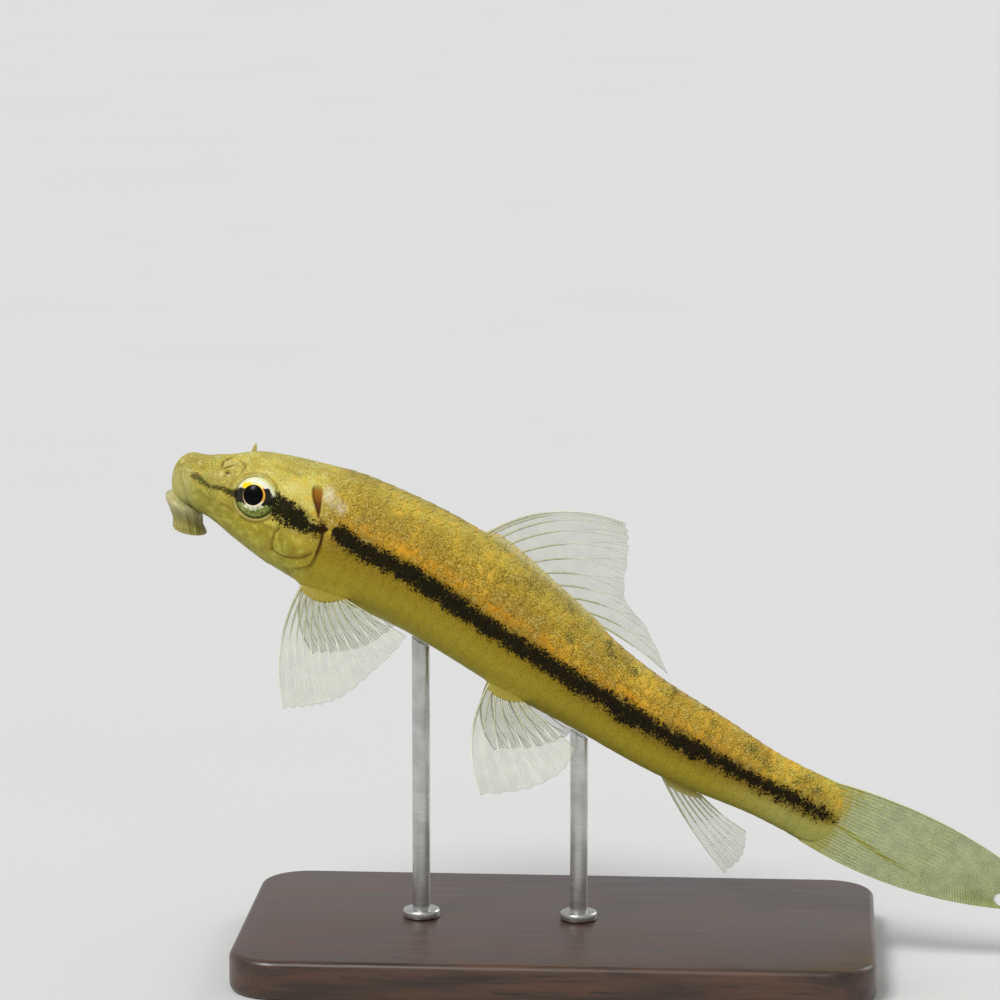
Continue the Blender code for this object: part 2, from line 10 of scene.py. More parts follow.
import bpy
import numpy as np
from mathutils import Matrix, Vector


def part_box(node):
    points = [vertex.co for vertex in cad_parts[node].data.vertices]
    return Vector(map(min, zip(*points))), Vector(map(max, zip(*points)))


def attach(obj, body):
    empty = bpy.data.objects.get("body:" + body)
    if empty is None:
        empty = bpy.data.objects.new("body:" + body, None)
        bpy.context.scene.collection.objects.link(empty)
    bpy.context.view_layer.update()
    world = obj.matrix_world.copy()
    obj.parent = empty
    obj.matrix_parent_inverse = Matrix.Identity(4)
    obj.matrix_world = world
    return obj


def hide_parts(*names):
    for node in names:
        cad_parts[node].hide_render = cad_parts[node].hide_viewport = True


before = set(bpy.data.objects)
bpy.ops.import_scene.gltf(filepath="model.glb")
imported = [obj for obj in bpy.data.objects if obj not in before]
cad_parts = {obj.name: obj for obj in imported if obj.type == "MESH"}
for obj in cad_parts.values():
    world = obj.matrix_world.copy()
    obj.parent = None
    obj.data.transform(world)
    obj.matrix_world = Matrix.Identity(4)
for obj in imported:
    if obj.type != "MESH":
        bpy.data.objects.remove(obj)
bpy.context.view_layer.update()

MM = 0.001

# Spine and body, as in the solids
SNOUT = (-39.0, 48.9)  # x and z of the snout's tip
SPINE_SLOPES = ((0, 4), (10, 21), (22, 23), (36, 36), (50, 34), (60, 27.5), (80, 26.5))
BODY_LENGTH = 80.0
NOSE_LENGTH = 2.4  # stretch over which the snout rounds off
NOSE_BLUNTNESS = 2.2  # exponent of its curve
# Distance along the spine, height above it, depth below it and half width
BODY_SIZES = (
    (0.0, 2.90, 2.30, 2.90), (2.0, 2.90, 2.50, 3.15), (4.5, 3.25, 3.15, 3.50), (8.0, 4.75, 4.45, 4.15),
    (13.0, 5.70, 5.70, 5.10), (19.0, 6.40, 6.40, 5.10), (30.0, 6.30, 6.30, 4.80), (40.0, 5.75, 5.75, 4.10),
    (50.5, 4.65, 4.60, 2.90), (60.0, 4.20, 4.15, 2.00), (69.0, 3.40, 3.40, 1.30), (80.0, 3.60, 3.60, 0.70),
)
BACK_ROUNDNESS = 2.05  # exponent of the section's curve over the back
BELLY_ROUNDNESS = 2.45  # and under the belly, which is flatter
TAIL_WEDGE = (70.8, 76.0)  # where the flesh thins out over the roots of the tail fin's rays
WEDGE_ROUNDING = 73.4  # from here its upper and lower corners round off too
GAP = 0.3  # at which the solids' fins start over the body

# Skin mesh
NOSE_RINGS = 30
HEAD_RINGS_END = 17.6
HEAD_RING_STEP, BODY_RING_STEP = 0.095, 0.36
SKIN_COLUMNS = 216
WEDGE_RINGS = 22
UNDER_SCALES = 0.03  # how deep the skin lies under the scales
SCALES_SET_IN = (16.0, 17.5)  # distances between which it sinks that deep

# Eyes
EYE_CENTRE = (-30.0, 3.3, 47.7)  # x, distance from the middle plane, z
EYE_RADIUS = 2.25
EYE_HALF_THICKNESS = 1.65
EYE_FORWARD, EYE_UPWARD = 8, 6  # degrees that the eye looks forward and up
EYE_OPENING = 2.08  # radius of the opening in the skin
EYE_RIM = 2.42  # radius of the groove round its raised rim
EYE_FLOOR = -1.5  # the eye's axis shapes no skin that lies deeper along it than this
PUPIL_OFFSET = (-0.04, 0.3)  # of the pupil from the eye's centre, towards the tail and up
EYE_MAP_WIDTH = 6.0  # millimetres that the eye's map covers

# Sucker mouth, as in the solids
MOUTH_ROOT = (-37.95, 47.0)
MOUTH_ROOT_SLOPE = 26
MOUTH_RIM = (-37.25, 43.75)
MOUTH_RIM_SLOPE = 12
MOUTH_WIDENING = 1.45
# Share of the way from root to rim, and half length, over the lip and down into the cup
MOUTH_PROFILE = (
    (-0.14, 1.0), (0.0, 1.55), (0.07, 1.86), (0.2, 2.0), (0.45, 1.72), (0.72, 1.5), (0.92, 1.62),
    (1.0, 1.66), (1.04, 1.5), (0.98, 1.2), (0.84, 0.85), (0.76, 0.45), (0.73, 0.02),
)

# Scales
SCALE_PITCH = 1.42  # from one row to the next along the body
SCALE_WIDTH = 1.5  # from one scale to the next round it
SCALE_LENGTH = 1.95
SCALE_LIFT = 0.018  # height of a scale's free edge
SCALE_CELLS = 4
SCALES_FROM, SCALES_TO = 13.2, 73.4
SCALES_ON_BACK = 14.6  # distance at which they start above the gill opening
# Shares of the full width and pitch at distances, and of the full lift and height at turns
WIDTH_SHARES = ((13, 20, 50, 60, 75), (0.75, 1, 1, 0.85, 0.7))
PITCH_SHARES = ((13, 20, 50, 60, 75), (0.75, 1, 1, 0.9, 0.8))
LIFT_SHARES = ((0, 70, 100, 180), (1, 1, 0.3, 0.2))
HEIGHT_SHARES = ((0, 88, 104, 180), (1, 1, 0.5, 0.45))
SCALE_RIM_ANGLE = 40  # degrees from which a scale's edges stay sharp
BAKE_PATCH = 0.003  # width of a scale's patch on its map

# Fins
RAY_TIP = 0.975  # share of a fin's length at which its rays end
JOINT_LENGTH = 0.14  # of the rays' joints
TAIL_ROOT = 75.0  # distance at which the tail fin starts
TAIL_ROOT_HALF = 3.65  # half the height of its root
TAIL_RAYS = 23

# Stand
SMOOTH_ANGLE = 32  # degrees up to which faces are shaded as one
CORNER_ROUNDING, EDGE_ROUNDING, COLLAR_ROUNDING = 5.0, 0.7, 0.28
COLLAR_WIDTH = 2.1  # times the rod's
COLLAR_HEIGHT, COLLAR_MIDDLE = 0.9, 0.44  # the middle's height over the base

# Stage
CAMERA_TARGET = (-6.0, 0.0, 47.12)
CAMERA_AZIMUTH, CAMERA_ELEVATION = 4, 10  # degrees towards the tail and up from the fish's side
CAMERA_DISTANCE = 0.45  # in metres
HALF_VIEW = 0.05  # half of what the camera sees at its target, in metres


def curve_through(knots):
    """A smooth curve through knots of (place, value, ...), level where the values turn."""
    places = np.array([knot[0] for knot in knots], float)
    values = np.array([knot[1:] for knot in knots], float)
    steps = np.diff(places)
    rises = np.diff(values, axis=0) / steps[:, None]
    both = rises[:-1] * rises[1:]
    same_way = both > 0
    inner = np.where(same_way, 2 * both / np.where(same_way, rises[:-1] + rises[1:], 1), 0)
    slopes = np.vstack([rises[:1], inner, rises[-1:]])

    def at(place):
        place = np.clip(place, places[0], places[-1])
        i = np.clip(np.searchsorted(places, place, side="right") - 1, 0, len(places) - 2)
        u = ((place - places[i]) / steps[i])[..., None]
        step = steps[i][..., None]
        value = (
            (2 * u**3 - 3 * u**2 + 1) * values[i]
            + (u**3 - 2 * u**2 + u) * step * slopes[i]
            + (3 * u**2 - 2 * u**3) * values[i + 1]
            + (u**3 - u**2) * step * slopes[i + 1]
        )
        return value if value.shape[-1] > 1 else value[..., 0]

    return at


def smooth_step(value, low, high):
    share = np.clip((value - low) / (high - low), 0, 1)
    return share * share * (3 - 2 * share)


def window(value, rise, risen, fall, fallen):
    """1 between two smooth steps up and down, 0 outside them."""
    return smooth_step(value, rise, risen) * (1 - smooth_step(value, fall, fallen))


def bell(value, width):
    return np.exp(-((value / width) ** 2))


def largest(*values):
    return np.max(values, axis=0)


def unit(vectors):
    return vectors / np.maximum(np.linalg.norm(vectors, axis=-1), 1e-12)[..., None]


def integrate_spine(step=0.1, end=82.0):
    """Rows of distances along the spine and the x, z and slope reached at each."""
    distances = np.arange(0, end + step, step)
    slopes = np.radians(curve_through(SPINE_SLOPES)(distances))
    middles = (slopes[1:] + slopes[:-1]) / 2
    x = SNOUT[0] + np.concatenate([[0], np.cumsum(step * np.cos(middles))])
    z = SNOUT[1] - np.concatenate([[0], np.cumsum(step * np.sin(middles))])
    return np.stack([distances, x, z, slopes])


SPINE = integrate_spine()
sizes_at = curve_through(BODY_SIZES)


def spine_at(distance):
    """The spine's x, z and slope at distances along it."""
    return (np.interp(distance, SPINE[0], row) for row in SPINE[1:])


def section(distance):
    """Height above the spine, depth below it and half width, with both ends of the body rounded."""
    above, below, half_width = np.moveaxis(sizes_at(distance), -1, 0)
    nearness = np.clip(1 - distance / NOSE_LENGTH, 0, 1)
    nose = (1 - nearness**NOSE_BLUNTNESS) ** (1 / NOSE_BLUNTNESS)
    start, end = TAIL_WEDGE
    corner = np.clip((distance - WEDGE_ROUNDING) / (end - WEDGE_ROUNDING), 0, 1)
    ends = nose * np.sqrt(np.maximum(1 - 0.98 * corner**2, 0))
    thinning = 1 - 0.93 * np.clip((distance - start) / (end - start), 0, 1)
    return above * ends, below * ends, half_width * nose * thinning


def surface(distance, turn):
    """Points on the body at distances from the snout and turns round the spine."""
    distance, turn = np.broadcast_arrays(np.asarray(distance, float), np.asarray(turn, float))
    x, z, slope = spine_at(distance)
    above, below, half_width = section(distance)
    angle = np.radians(turn)
    lowness = (1 - np.cos(angle)) / 2
    power = 2 / (BACK_ROUNDNESS + (BELLY_ROUNDNESS - BACK_ROUNDNESS) * lowness)
    height = np.sign(np.cos(angle)) * np.abs(np.cos(angle)) ** power
    side = np.sign(np.sin(angle)) * np.abs(np.sin(angle)) ** power
    height = height * np.where(height > 0, above, below)
    return np.stack([x + np.sin(slope) * height, -side * half_width, z + np.cos(slope) * height], -1)


def outward(distance, turn):
    """Unit vectors square to the body's surface."""
    before = np.maximum(distance - 0.04, 0.0004)
    lengthwise = surface(distance + 0.04, turn) - surface(before, turn)
    around = surface(distance, turn + 0.5) - surface(distance, turn - 0.5)
    return unit(np.cross(around, lengthwise))


def over_body(distance, turn, out=0.0):
    """Points at a height over the plain body."""
    distance, turn = np.broadcast_arrays(np.asarray(distance, float), np.asarray(turn, float))
    return surface(distance, turn) + outward(distance, turn) * np.asarray(out, float)[..., None]


def degree_length(distance):
    """Millimetres over the skin for each degree of turn."""
    return np.mean(section(distance), axis=0) * math.pi / 180


def place_distance(distance, turn, place):
    """How far over the skin, in millimetres, places are from one of them."""
    return np.hypot(distance - place[0], (turn - place[1]) * degree_length(distance))


def line_distance(distance, turn, line):
    """How far over the skin, in millimetres, places are from a smooth line through (distance, turn)."""
    knots = [(i, *place) for i, place in enumerate(line)]
    along = curve_through(knots)(np.linspace(0, len(line) - 1, 5 * (len(line) - 1) + 1))
    scale = degree_length(distance)
    nearest = np.full(np.shape(distance), 9.0)
    for (s0, t0), (s1, t1) in zip(along, along[1:]):
        ax, ay = distance - s0, (turn - t0) * scale
        bx, by = s1 - s0, (t1 - t0) * scale
        share = np.clip((ax * bx + ay * by) / (bx * bx + by * by + 1e-12), 0, 1)
        nearest = np.minimum(nearest, np.hypot(ax - share * bx, ay - share * by))
    return nearest


# Lines of the head through (distance, turn), each with the depth and width of its groove and the
# strength and width of the shade painted along it
HEAD_LINES = (
    # Under the eye
    (((10.4, 102), (11.2, 101), (12.2, 98)), 0.08, 0.12, 0.45, 0.1),
    # In front of the gill cover and below it
    (((12.2, 98), (11.95, 105), (12.0, 114), (12.3, 124)), 0.14, 0.13, 0.8, 0.1),
    (((12.3, 124), (13.2, 125.5), (14.4, 121), (15.4, 114.5), (16.1, 107)), 0.15, 0.14, 0.7, 0.12),
    # Behind the lips and along the snout
    (((1.0, 66), (1.4, 88), (1.8, 108), (2.2, 132), (2.6, 160), (2.7, 180)), 0.12, 0.2, 0.3, 0.2),
    (((3.2, 96), (4.6, 103), (6.2, 103), (7.4, 104)), 0.07, 0.25, 0.3, 0.22),
    # Round the nostrils
    (((4.9, 43), (4.8, 33), (5.0, 24), (5.4, 16)), 0.14, 0.14, 0.9, 0.15),
    (((6.85, 49), (6.95, 42), (6.6, 34), (6.3, 31)), 0.2, 0.14, 0.7, 0.11),
    # Over the eye
    (((9.6, 33), (10.9, 36), (12.1, 38)), 0.0, 0.3, 0.35, 0.3),
)
SNOUT_STRIPE = (
    (2.4, 69), (2.8, 71), (3.2, 74), (3.7, 80), (4.4, 83.5), (5.3, 81.5), (6.1, 84), (7.0, 84)
)
# Distances along the snout's stripe, and its half width there
SNOUT_STRIPE_WIDTH = ((2.3, 2.8, 3.5, 4.3, 5.4, 6.2, 6.6), (0.26, 0.34, 0.26, 0.18, 0.12, 0.2, 0.36))
# Line along which a silvery sheen is painted behind the gill opening
SHEEN_LINE = ((15.3, 46), (15.5, 53), (17.1, 61))
NOSTRIL_PIT = (5.5, 54)
NASAL_SWELLING = (5.9, 37)
FLAP_PLACE = (5.15, 39)
RAISED_FLAP_PLACE = (7.0, -27)
# Free edge of the gill cover and the skin below it: distance at each turn
GILL_EDGE = curve_through(
    ((58, 14.9), (67, 15.15), (78, 15.6), (86, 16.15), (94, 16.45), (104, 16.5), (112, 16.45), (119, 16.3),
     (128, 15.5), (136, 14.6), (144, 13.6), (160, 12.4), (180, 11.8))
)
# Front and rear edge of the wedge-shaped opening above it, at each turn
WEDGE_FRONT = curve_through(((44, 14.0), (48, 13.75), (56, 13.95), (64, 14.4), (72, 14.95), (78, 15.4)))
WEDGE_REAR = curve_through(((44, 14.6), (48, 14.8), (56, 15.0), (64, 15.2), (72, 15.4), (78, 15.5)))
# Roots of the fins
PECTORAL_ROOT = ((16.4, 150), (20.8, 140))
PELVIC_ROOT = ((39.0, 155), (42.6, 148))
DORSAL_ROOT = (30.5, 45.1)
# Edges of the dark stripe: turn at each distance
STRIPE_TOP = curve_through(
    ((10.2, 63), (11.5, 69), (13.5, 75), (15.5, 82), (17.5, 76), (20, 80), (24, 82), (28, 84), (31.5, 86),
     (36, 86.5), (40, 84), (44, 82.5), (48, 79.8), (52, 77), (54.5, 77.3), (56, 78.5), (58.5, 75), (61, 78),
     (64, 77), (67, 78.3), (70, 74), (72.5, 80), (75, 82))
)
STRIPE_BOTTOM = curve_through(
    ((10.2, 87), (11.5, 91.5), (13.5, 94), (15.5, 91.5), (17.5, 90), (19.5, 94), (22, 95.5), (26, 97.5),
     (29, 100), (32, 101.5), (35.5, 101.5), (38, 100), (42, 99.2), (43.5, 97.5), (46, 100), (49, 97.3),
     (52, 100), (55.5, 96), (58, 98.7), (61, 96), (64, 97.5), (68, 99), (70, 101), (72, 98.7),
     (73.5, 99.5), (75, 96))
)
ORANGE_PATCHES = (
    (20.2, 74, 0.7), (25.0, 75, 1.0), (27.5, 77, 0.9), (30.2, 78, 0.9), (35.0, 80, 1.0), (37.3, 77, 0.8),
    (41.5, 76, 1.0), (47.6, 75, 0.9), (51.1, 69, 0.9), (56.0, 62, 0.5), (60.5, 66, 0.5),
)
BACK_SPOTS = ((34.0, 44), (36.5, 31), (42.9, 32), (48.9, 31), (54.5, 35), (60.0, 38), (66.0, 40), (71.0, 45))


def wedge_depth(distance, turn):
    """From 0 outside the wedge-shaped gill opening to 1 well inside it."""
    front, rear = WEDGE_FRONT(turn), WEDGE_REAR(turn)
    inside = window(distance, front - 0.06, front + 0.14, rear - 0.06, rear + 0.03)
    return inside * window(turn, 42, 50, 77, 80)


def relief(distance, turn):
    """Height of the head's and fin roots' forms over the plain body."""
    turn = np.abs(turn)
    out = -UNDER_SCALES * smooth_step(distance, *SCALES_SET_IN)
    for line, depth, width, *_ in HEAD_LINES:
        out = out - depth * bell(line_distance(distance, turn, line), width)
    pit = place_distance(distance, turn, NOSTRIL_PIT)
    out = out - 0.4 * bell(pit, 0.18) + 0.06 * bell(pit - 0.34, 0.12)
    out = out + 0.22 * bell(place_distance(distance, turn, NASAL_SWELLING), 0.62)
    scale = degree_length(distance)
    # The gill cover swells a little and steps down behind its free edge
    behind = distance - GILL_EDGE(turn)
    strength = smooth_step(turn, 62, 76) * (1 - 0.7 * smooth_step(turn, 140, 165))
    before = 0.13 * np.exp(np.minimum(behind, 0) / 1.3)
    after = -0.16 * np.exp(-np.maximum(behind - 0.1, 0) / 0.55)
    drop = smooth_step(behind, -0.02, 0.12)
    out = out + strength * (before * (1 - drop) + after * drop)
    plate = np.hypot((distance - 14.1) / 2.0, (turn - 108) * scale / 1.65)
    out = out + 0.2 * (1 - smooth_step(plate, 0.3, 1.08))
    out = out - 0.42 * wedge_depth(distance, turn)
    # Saddle of the snout behind its rounded front
    saddle = 0.14 * bell(distance - 3.1, 0.9) - 0.06 * bell(distance - 1.4, 0.7)
    out = out - saddle * (1 - smooth_step(turn, 25, 60))
    # Fleshy roots of the fins
    out = out + 0.42 * bell(line_distance(distance, turn, PECTORAL_ROOT), 0.9)
    out = out + 0.26 * bell(line_distance(distance, turn, PELVIC_ROOT), 0.7)
    return out + 0.2 * dorsal_seam(distance) * bell(turn * scale, 0.5)


def dorsal_seam(distance):
    """1 along the dorsal fin's root, fading out past both its ends."""
    start, end = DORSAL_ROOT
    return window(distance, start - 1.5, start, end, end + 1.5)


def eye_axis(side):
    """Unit vector along which the eye looks, on the fish's left with side 1."""
    forward, upward = math.radians(EYE_FORWARD), math.radians(EYE_UPWARD)
    aside = math.cos(forward) * math.cos(upward)
    return unit(np.array([-math.sin(forward), -side * aside, math.sin(upward)]))


def eye_centre(side):
    return np.array([EYE_CENTRE[0], -side * EYE_CENTRE[1], EYE_CENTRE[2]])


def round_eye(points, side):
    """How high points lie along an eye's axis from its centre, and how far from that axis."""
    offset = points - eye_centre(side)
    level = offset @ eye_axis(side)
    return level, np.sqrt(np.maximum((offset**2).sum(-1) - level**2, 0))


def set_in_eyes(points):
    """Moves skin points so that a rim rises round each eye and the skin ducks under the eyeball."""
    share = EYE_OPENING / EYE_RADIUS
    rim = EYE_HALF_THICKNESS * math.sqrt(1 - share**2) + 0.04
    for side in (1, -1):
        level, radius = round_eye(points, side)
        near = (level > EYE_FLOOR) & (radius < 4.5)
        lift = (rim - level) * (1 - smooth_step(radius, 2.2, 3.7))
        lift = lift + 0.11 * bell(radius - 2.26, 0.15) - 0.06 * bell(radius - 2.62, 0.2)
        lift = lift - 1.3 * (1 - smooth_step(radius, EYE_OPENING - 0.34, EYE_OPENING + 0.03))
        points = points + np.where(near, lift, 0)[:, None] * eye_axis(side)
    return points


def markings_and_painted_light(distance, turn):
    """The skin's markings and its painted shade, sheen and highlights at places, as shares or, for the
    stripe, millimetres inside its edge.
    """
    turn = np.abs(turn)
    scale = degree_length(distance)
    stripe = np.minimum(turn - STRIPE_TOP(distance), STRIPE_BOTTOM(distance) - turn) * scale
    stripe = np.minimum(stripe, (distance - 10.4) * 0.8)
    stripe = np.minimum(stripe, (75.6 - distance) * 0.6)
    stripe = stripe - 1.2 * bell(distance - 16.95, 0.3)
    thickness = np.interp(distance, *SNOUT_STRIPE_WIDTH)
    snout = 2.2 * (thickness - line_distance(distance, turn, SNOUT_STRIPE))
    level, radius = round_eye(surface(distance, turn), 1)
    eye_rim = np.where(level > EYE_FLOOR, radius, 9) - EYE_RIM
    behind = distance - GILL_EDGE(turn)
    red = bell(behind - 0.08, 0.12) * window(turn, 78, 84, 104, 110)
    wedge = wedge_depth(distance, turn)
    # Painted shade along the head's lines and grooves, in the nostril pit, in the groove round the eye and
    # under the gill cover's free edge
    crease_shade = largest(
        *(dark * bell(line_distance(distance, turn, line), width) for line, _, _, dark, width in HEAD_LINES),
        1.3 * bell(place_distance(distance, turn, NOSTRIL_PIT), 0.17),
        0.55 * bell(eye_rim, 0.12) * (1 - smooth_step(turn, 58, 68)),
        0.5 * bell(eye_rim, 0.14) * smooth_step(turn, 84, 94),
        0.6 * bell(behind - 0.1, 0.13) * window(turn, 104, 112, 140, 150),
    )
    pale = largest(
        0.6 * bell(place_distance(distance, turn, NASAL_SWELLING), 0.42),
        0.5 * bell(eye_rim + 0.22, 0.12),
        dorsal_seam(distance) * bell(turn * scale, 0.4),
        # a painted highlight on the skin behind the top of the eye
        0.45 * bell(distance - 12.2, 1.2) * bell(turn - 55, 8),
    )
    lip = 1 - smooth_step(distance, 0.9 + 0.010 * turn, 2.2 + 0.012 * turn)
    orange = [
        bright * bell(distance - place, 2.0) * bell(turn - high, 6.5)
        for place, high, bright in ORANGE_PATCHES
    ]
    spots = [bell(distance - place, 0.9) * bell((turn - high) * scale, 0.6) for place, high in BACK_SPOTS]
    return {
        "stripe": np.clip(np.maximum(stripe, snout), -1.5, 1.5),
        "orange": largest(*orange),
        "spots": largest(*spots),
        "crease_shade": np.clip(crease_shade, 0, 1),
        "gill_red": np.maximum(red, wedge),
        "gill_depth": np.where(wedge > 0.05, smooth_step(turn, 46, 70), 1.0),
        "sheen": bell(line_distance(distance, turn, SHEEN_LINE), 0.5),
        # Gold on the gill cover's lower lobe, partly painted highlight where it swells
        "lobe_gold_and_highlight": bell(distance - 14.6, 1.3) * bell(turn - 101, 7),
        "lip": lip * smooth_step(turn, 35, 80),
        "pale": pale,
        "around": turn / 180,
        "along": distance / BODY_LENGTH,
        "free_edge": np.zeros(np.shape(distance)),
    }


# Meshes


def deselect():
    if bpy.context.mode != "OBJECT":
        bpy.ops.object.mode_set(mode="OBJECT")
    bpy.ops.object.select_all(action="DESELECT")


def select_only(piece):
    deselect()
    piece.select_set(True)
    bpy.context.view_layer.objects.active = piece


def finish_piece(piece, material, slot, *nodes):
    """Gives a piece its material, attaches it to the root and hides the solids it stands for. The slot is
    not used.
    """
    piece.data.materials.clear()
    piece.data.materials.append(material)
    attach(piece, "root")
    if nodes:
        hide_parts(*nodes)
    return piece


def set_attributes(mesh, values):
    for name, value in values.items():
        layer = mesh.attributes.new(name, "FLOAT", "POINT")
        layer.data.foreach_set("value", np.asarray(value, np.float32).ravel())


def primitive(add, name, scale=(1, 1, 1), **settings):
    """A primitive mesh under a piece's name, with its place and scale applied."""
    deselect()
    add(**settings)
    piece = bpy.context.object
    piece.name = piece.data.name = name
    piece.scale = scale
    bpy.ops.object.transform_apply(location=True, rotation=True, scale=True)
    return piece


def apply_modifier(piece, kind, **settings):
    select_only(piece)
    modifier = piece.modifiers.new(kind.title(), kind)
    for key, value in settings.items():
        setattr(modifier, key, value)
    bpy.ops.object.modifier_apply(modifier=modifier.name)


def shade_edges(piece):
    """Smooth shading apart from the piece's edges."""
    select_only(piece)
    bpy.ops.object.shade_smooth_by_angle(angle=math.radians(SMOOTH_ANGLE))


def wrapped_grid(name, columns, rows, place):
    """A grid primitive with its points moved to place(across, along), which run from 0 to 1."""
    cells = {"x_subdivisions": columns, "y_subdivisions": rows}
    piece = primitive(bpy.ops.mesh.primitive_grid_add, name, size=1, **cells)
    shares = np.clip(points_of(piece)[:, :2] + 0.5, 0, 1)
    move_points(piece, place(shares[:, 0], shares[:, 1]))
    return piece, shares


def points_of(piece):
    flat = np.empty(len(piece.data.vertices) * 3)
    piece.data.vertices.foreach_get("co", flat)
    return flat.reshape(-1, 3)


def move_points(piece, points):
    """Moves a piece's points to places in millimetres."""
    piece.data.vertices.foreach_set("co", (points * MM).ravel())
    piece.data.update()


def corner_points(piece):
    """The index of the point at every corner of every face."""
    corners = np.empty(len(piece.data.loops), int)
    piece.data.loops.foreach_get("vertex_index", corners)
    return corners


def face_outward(piece):
    select_only(piece)
    bpy.ops.object.mode_set(mode="EDIT")
    bpy.ops.mesh.select_all(action="SELECT")
    bpy.ops.mesh.normals_make_consistent(inside=False)
    bpy.ops.object.mode_set(mode="OBJECT")
    bpy.ops.object.shade_smooth()


def close_tube(piece):
    """Joins the seam of a wrapped grid and closes both its ends, in edit mode."""
    select_only(piece)
    bpy.ops.object.mode_set(mode="EDIT")
    bpy.ops.mesh.select_all(action="SELECT")
    bpy.ops.mesh.remove_doubles(threshold=1e-7)
    bpy.ops.mesh.select_all(action="DESELECT")
    bpy.ops.mesh.select_non_manifold(extend=False)
    bpy.ops.mesh.fill(use_beauty=True)
    face_outward(piece)


def mesh_of(name, points, faces, values):
    """A piece straight from points in millimetres, faces and its points' attributes."""
    mesh = bpy.data.meshes.new(name)
    mesh.from_pydata((points * MM).tolist(), [], faces)
    mesh.shade_smooth()
    set_attributes(mesh, values)
    piece = bpy.data.objects.new(name, mesh)
    bpy.context.scene.collection.objects.link(piece)
    return piece


def ring_distances():
    """Distances of the skin's rings: even round the snout, close over the head, wider behind it."""
    angles = np.radians(np.linspace(1.2, 90, NOSE_RINGS))
    nose = NOSE_LENGTH * (1 - np.cos(angles) ** (2 / NOSE_BLUNTNESS))
    head = np.arange(NOSE_LENGTH + HEAD_RING_STEP, HEAD_RINGS_END, HEAD_RING_STEP)
    body = np.arange(HEAD_RINGS_END, TAIL_WEDGE[0], BODY_RING_STEP)
    wedge = np.linspace(TAIL_WEDGE[0], TAIL_WEDGE[1], WEDGE_RINGS)
    return np.concatenate([nose, head, body, wedge])


def fish_skin():
    """The skin from snout to tail in one piece."""
    rings = ring_distances()
    turns = np.linspace(-180, 180, SKIN_COLUMNS + 1)
    found = {}

    def place(across, along):
        distance = rings[np.rint(along * (len(rings) - 1)).astype(int)]
        turn = turns[np.rint(across * SKIN_COLUMNS).astype(int)]
        found.update(markings_and_painted_light(distance, turn))
        return set_in_eyes(over_body(distance, turn, relief(distance, turn)))

    piece, _ = wrapped_grid("body_skin", SKIN_COLUMNS, len(rings) - 1, place)
    set_attributes(piece.data, found)
    close_tube(piece)
    return piece


def nasal_flap(name, place, lean_out, length, width):
    """The small leaf of skin between the nostrils, lying back or standing up with its face outward."""
    distance, turn = (np.array(value, float) for value in place)
    root = surface(distance, turn)
    out = outward(distance, turn)
    back = unit(surface(distance + 0.5, turn) - root)
    side_way = np.cross(out, back)
    direction = lean_out * out + (1 - lean_out) * back
    across_way = (1 - lean_out) * side_way + lean_out * back
    face = np.cross(direction, across_way)

    def leaf(across, along):
        half = width / 2 * (1 - (0.98 * along) ** 1.6) ** 0.7
        side = (2 * across - 1) * half
        curl = 0.16 * np.sin(math.pi * np.minimum(along, 1)) * (1 - lean_out)
        hollow = 0.25 * side**2
        reach = length * along - 0.25
        droop = 0.25 * lean_out * along**2
        return (
            root
            + reach[:, None] * direction
            + (side + droop)[:, None] * across_way
            + curl[:, None] * out
            + hollow[:, None] * face
        )

    piece, _ = wrapped_grid(name, 10, 14, leaf)
    count = len(piece.data.vertices)
    marks = markings_and_painted_light(np.full(count, distance), np.full(count, turn))
    # A little painted shade over the whole flap
    marks["crease_shade"] = np.full(count, 0.12)
    marks["stripe"] = np.full(count, -1.5)
    marks["pale"] = np.full(count, 0.35)
    set_attributes(piece.data, marks)
    apply_modifier(piece, "SOLIDIFY", thickness=0.12 * MM, offset=0)
    bpy.ops.object.shade_smooth()
    return piece


def scale_places():
    """Root places of the scales, row by row, as distance, turn and sizes."""
    rng = np.random.default_rng(5)
    places = []
    distance, odd = SCALES_FROM, 0
    while distance < SCALES_TO:
        turns = np.linspace(-180, 180, 361)
        ring = surface(np.full(361, distance), turns)
        lengths = np.concatenate([[0], np.cumsum(np.linalg.norm(np.diff(ring, axis=0), axis=1))])
        width = SCALE_WIDTH * float(np.interp(distance, *WIDTH_SHARES))
        count = 2 * round(lengths[-1] / width / 2)
        pitch = SCALE_PITCH * float(np.interp(distance, *PITCH_SHARES))
        for k in range(count):
            share = ((k + 0.5 * odd) / count) % 1
            turn = float(np.interp(share * lengths[-1], lengths, turns))
            start = float(GILL_EDGE(np.array(abs(turn)))) if abs(turn) > 58 else SCALES_ON_BACK
            under_fin = abs(turn) < 5 and DORSAL_ROOT[0] - 1 < distance < DORSAL_ROOT[1]
            if distance < start + 0.45 or under_fin:
                continue
            size = pitch / SCALE_PITCH * rng.uniform(0.96, 1.05)
            places.append((distance + rng.uniform(-0.05, 0.05), turn, size, lengths[-1] / count / 2))
        distance += pitch
        odd = 1 - odd
    return np.array(places)


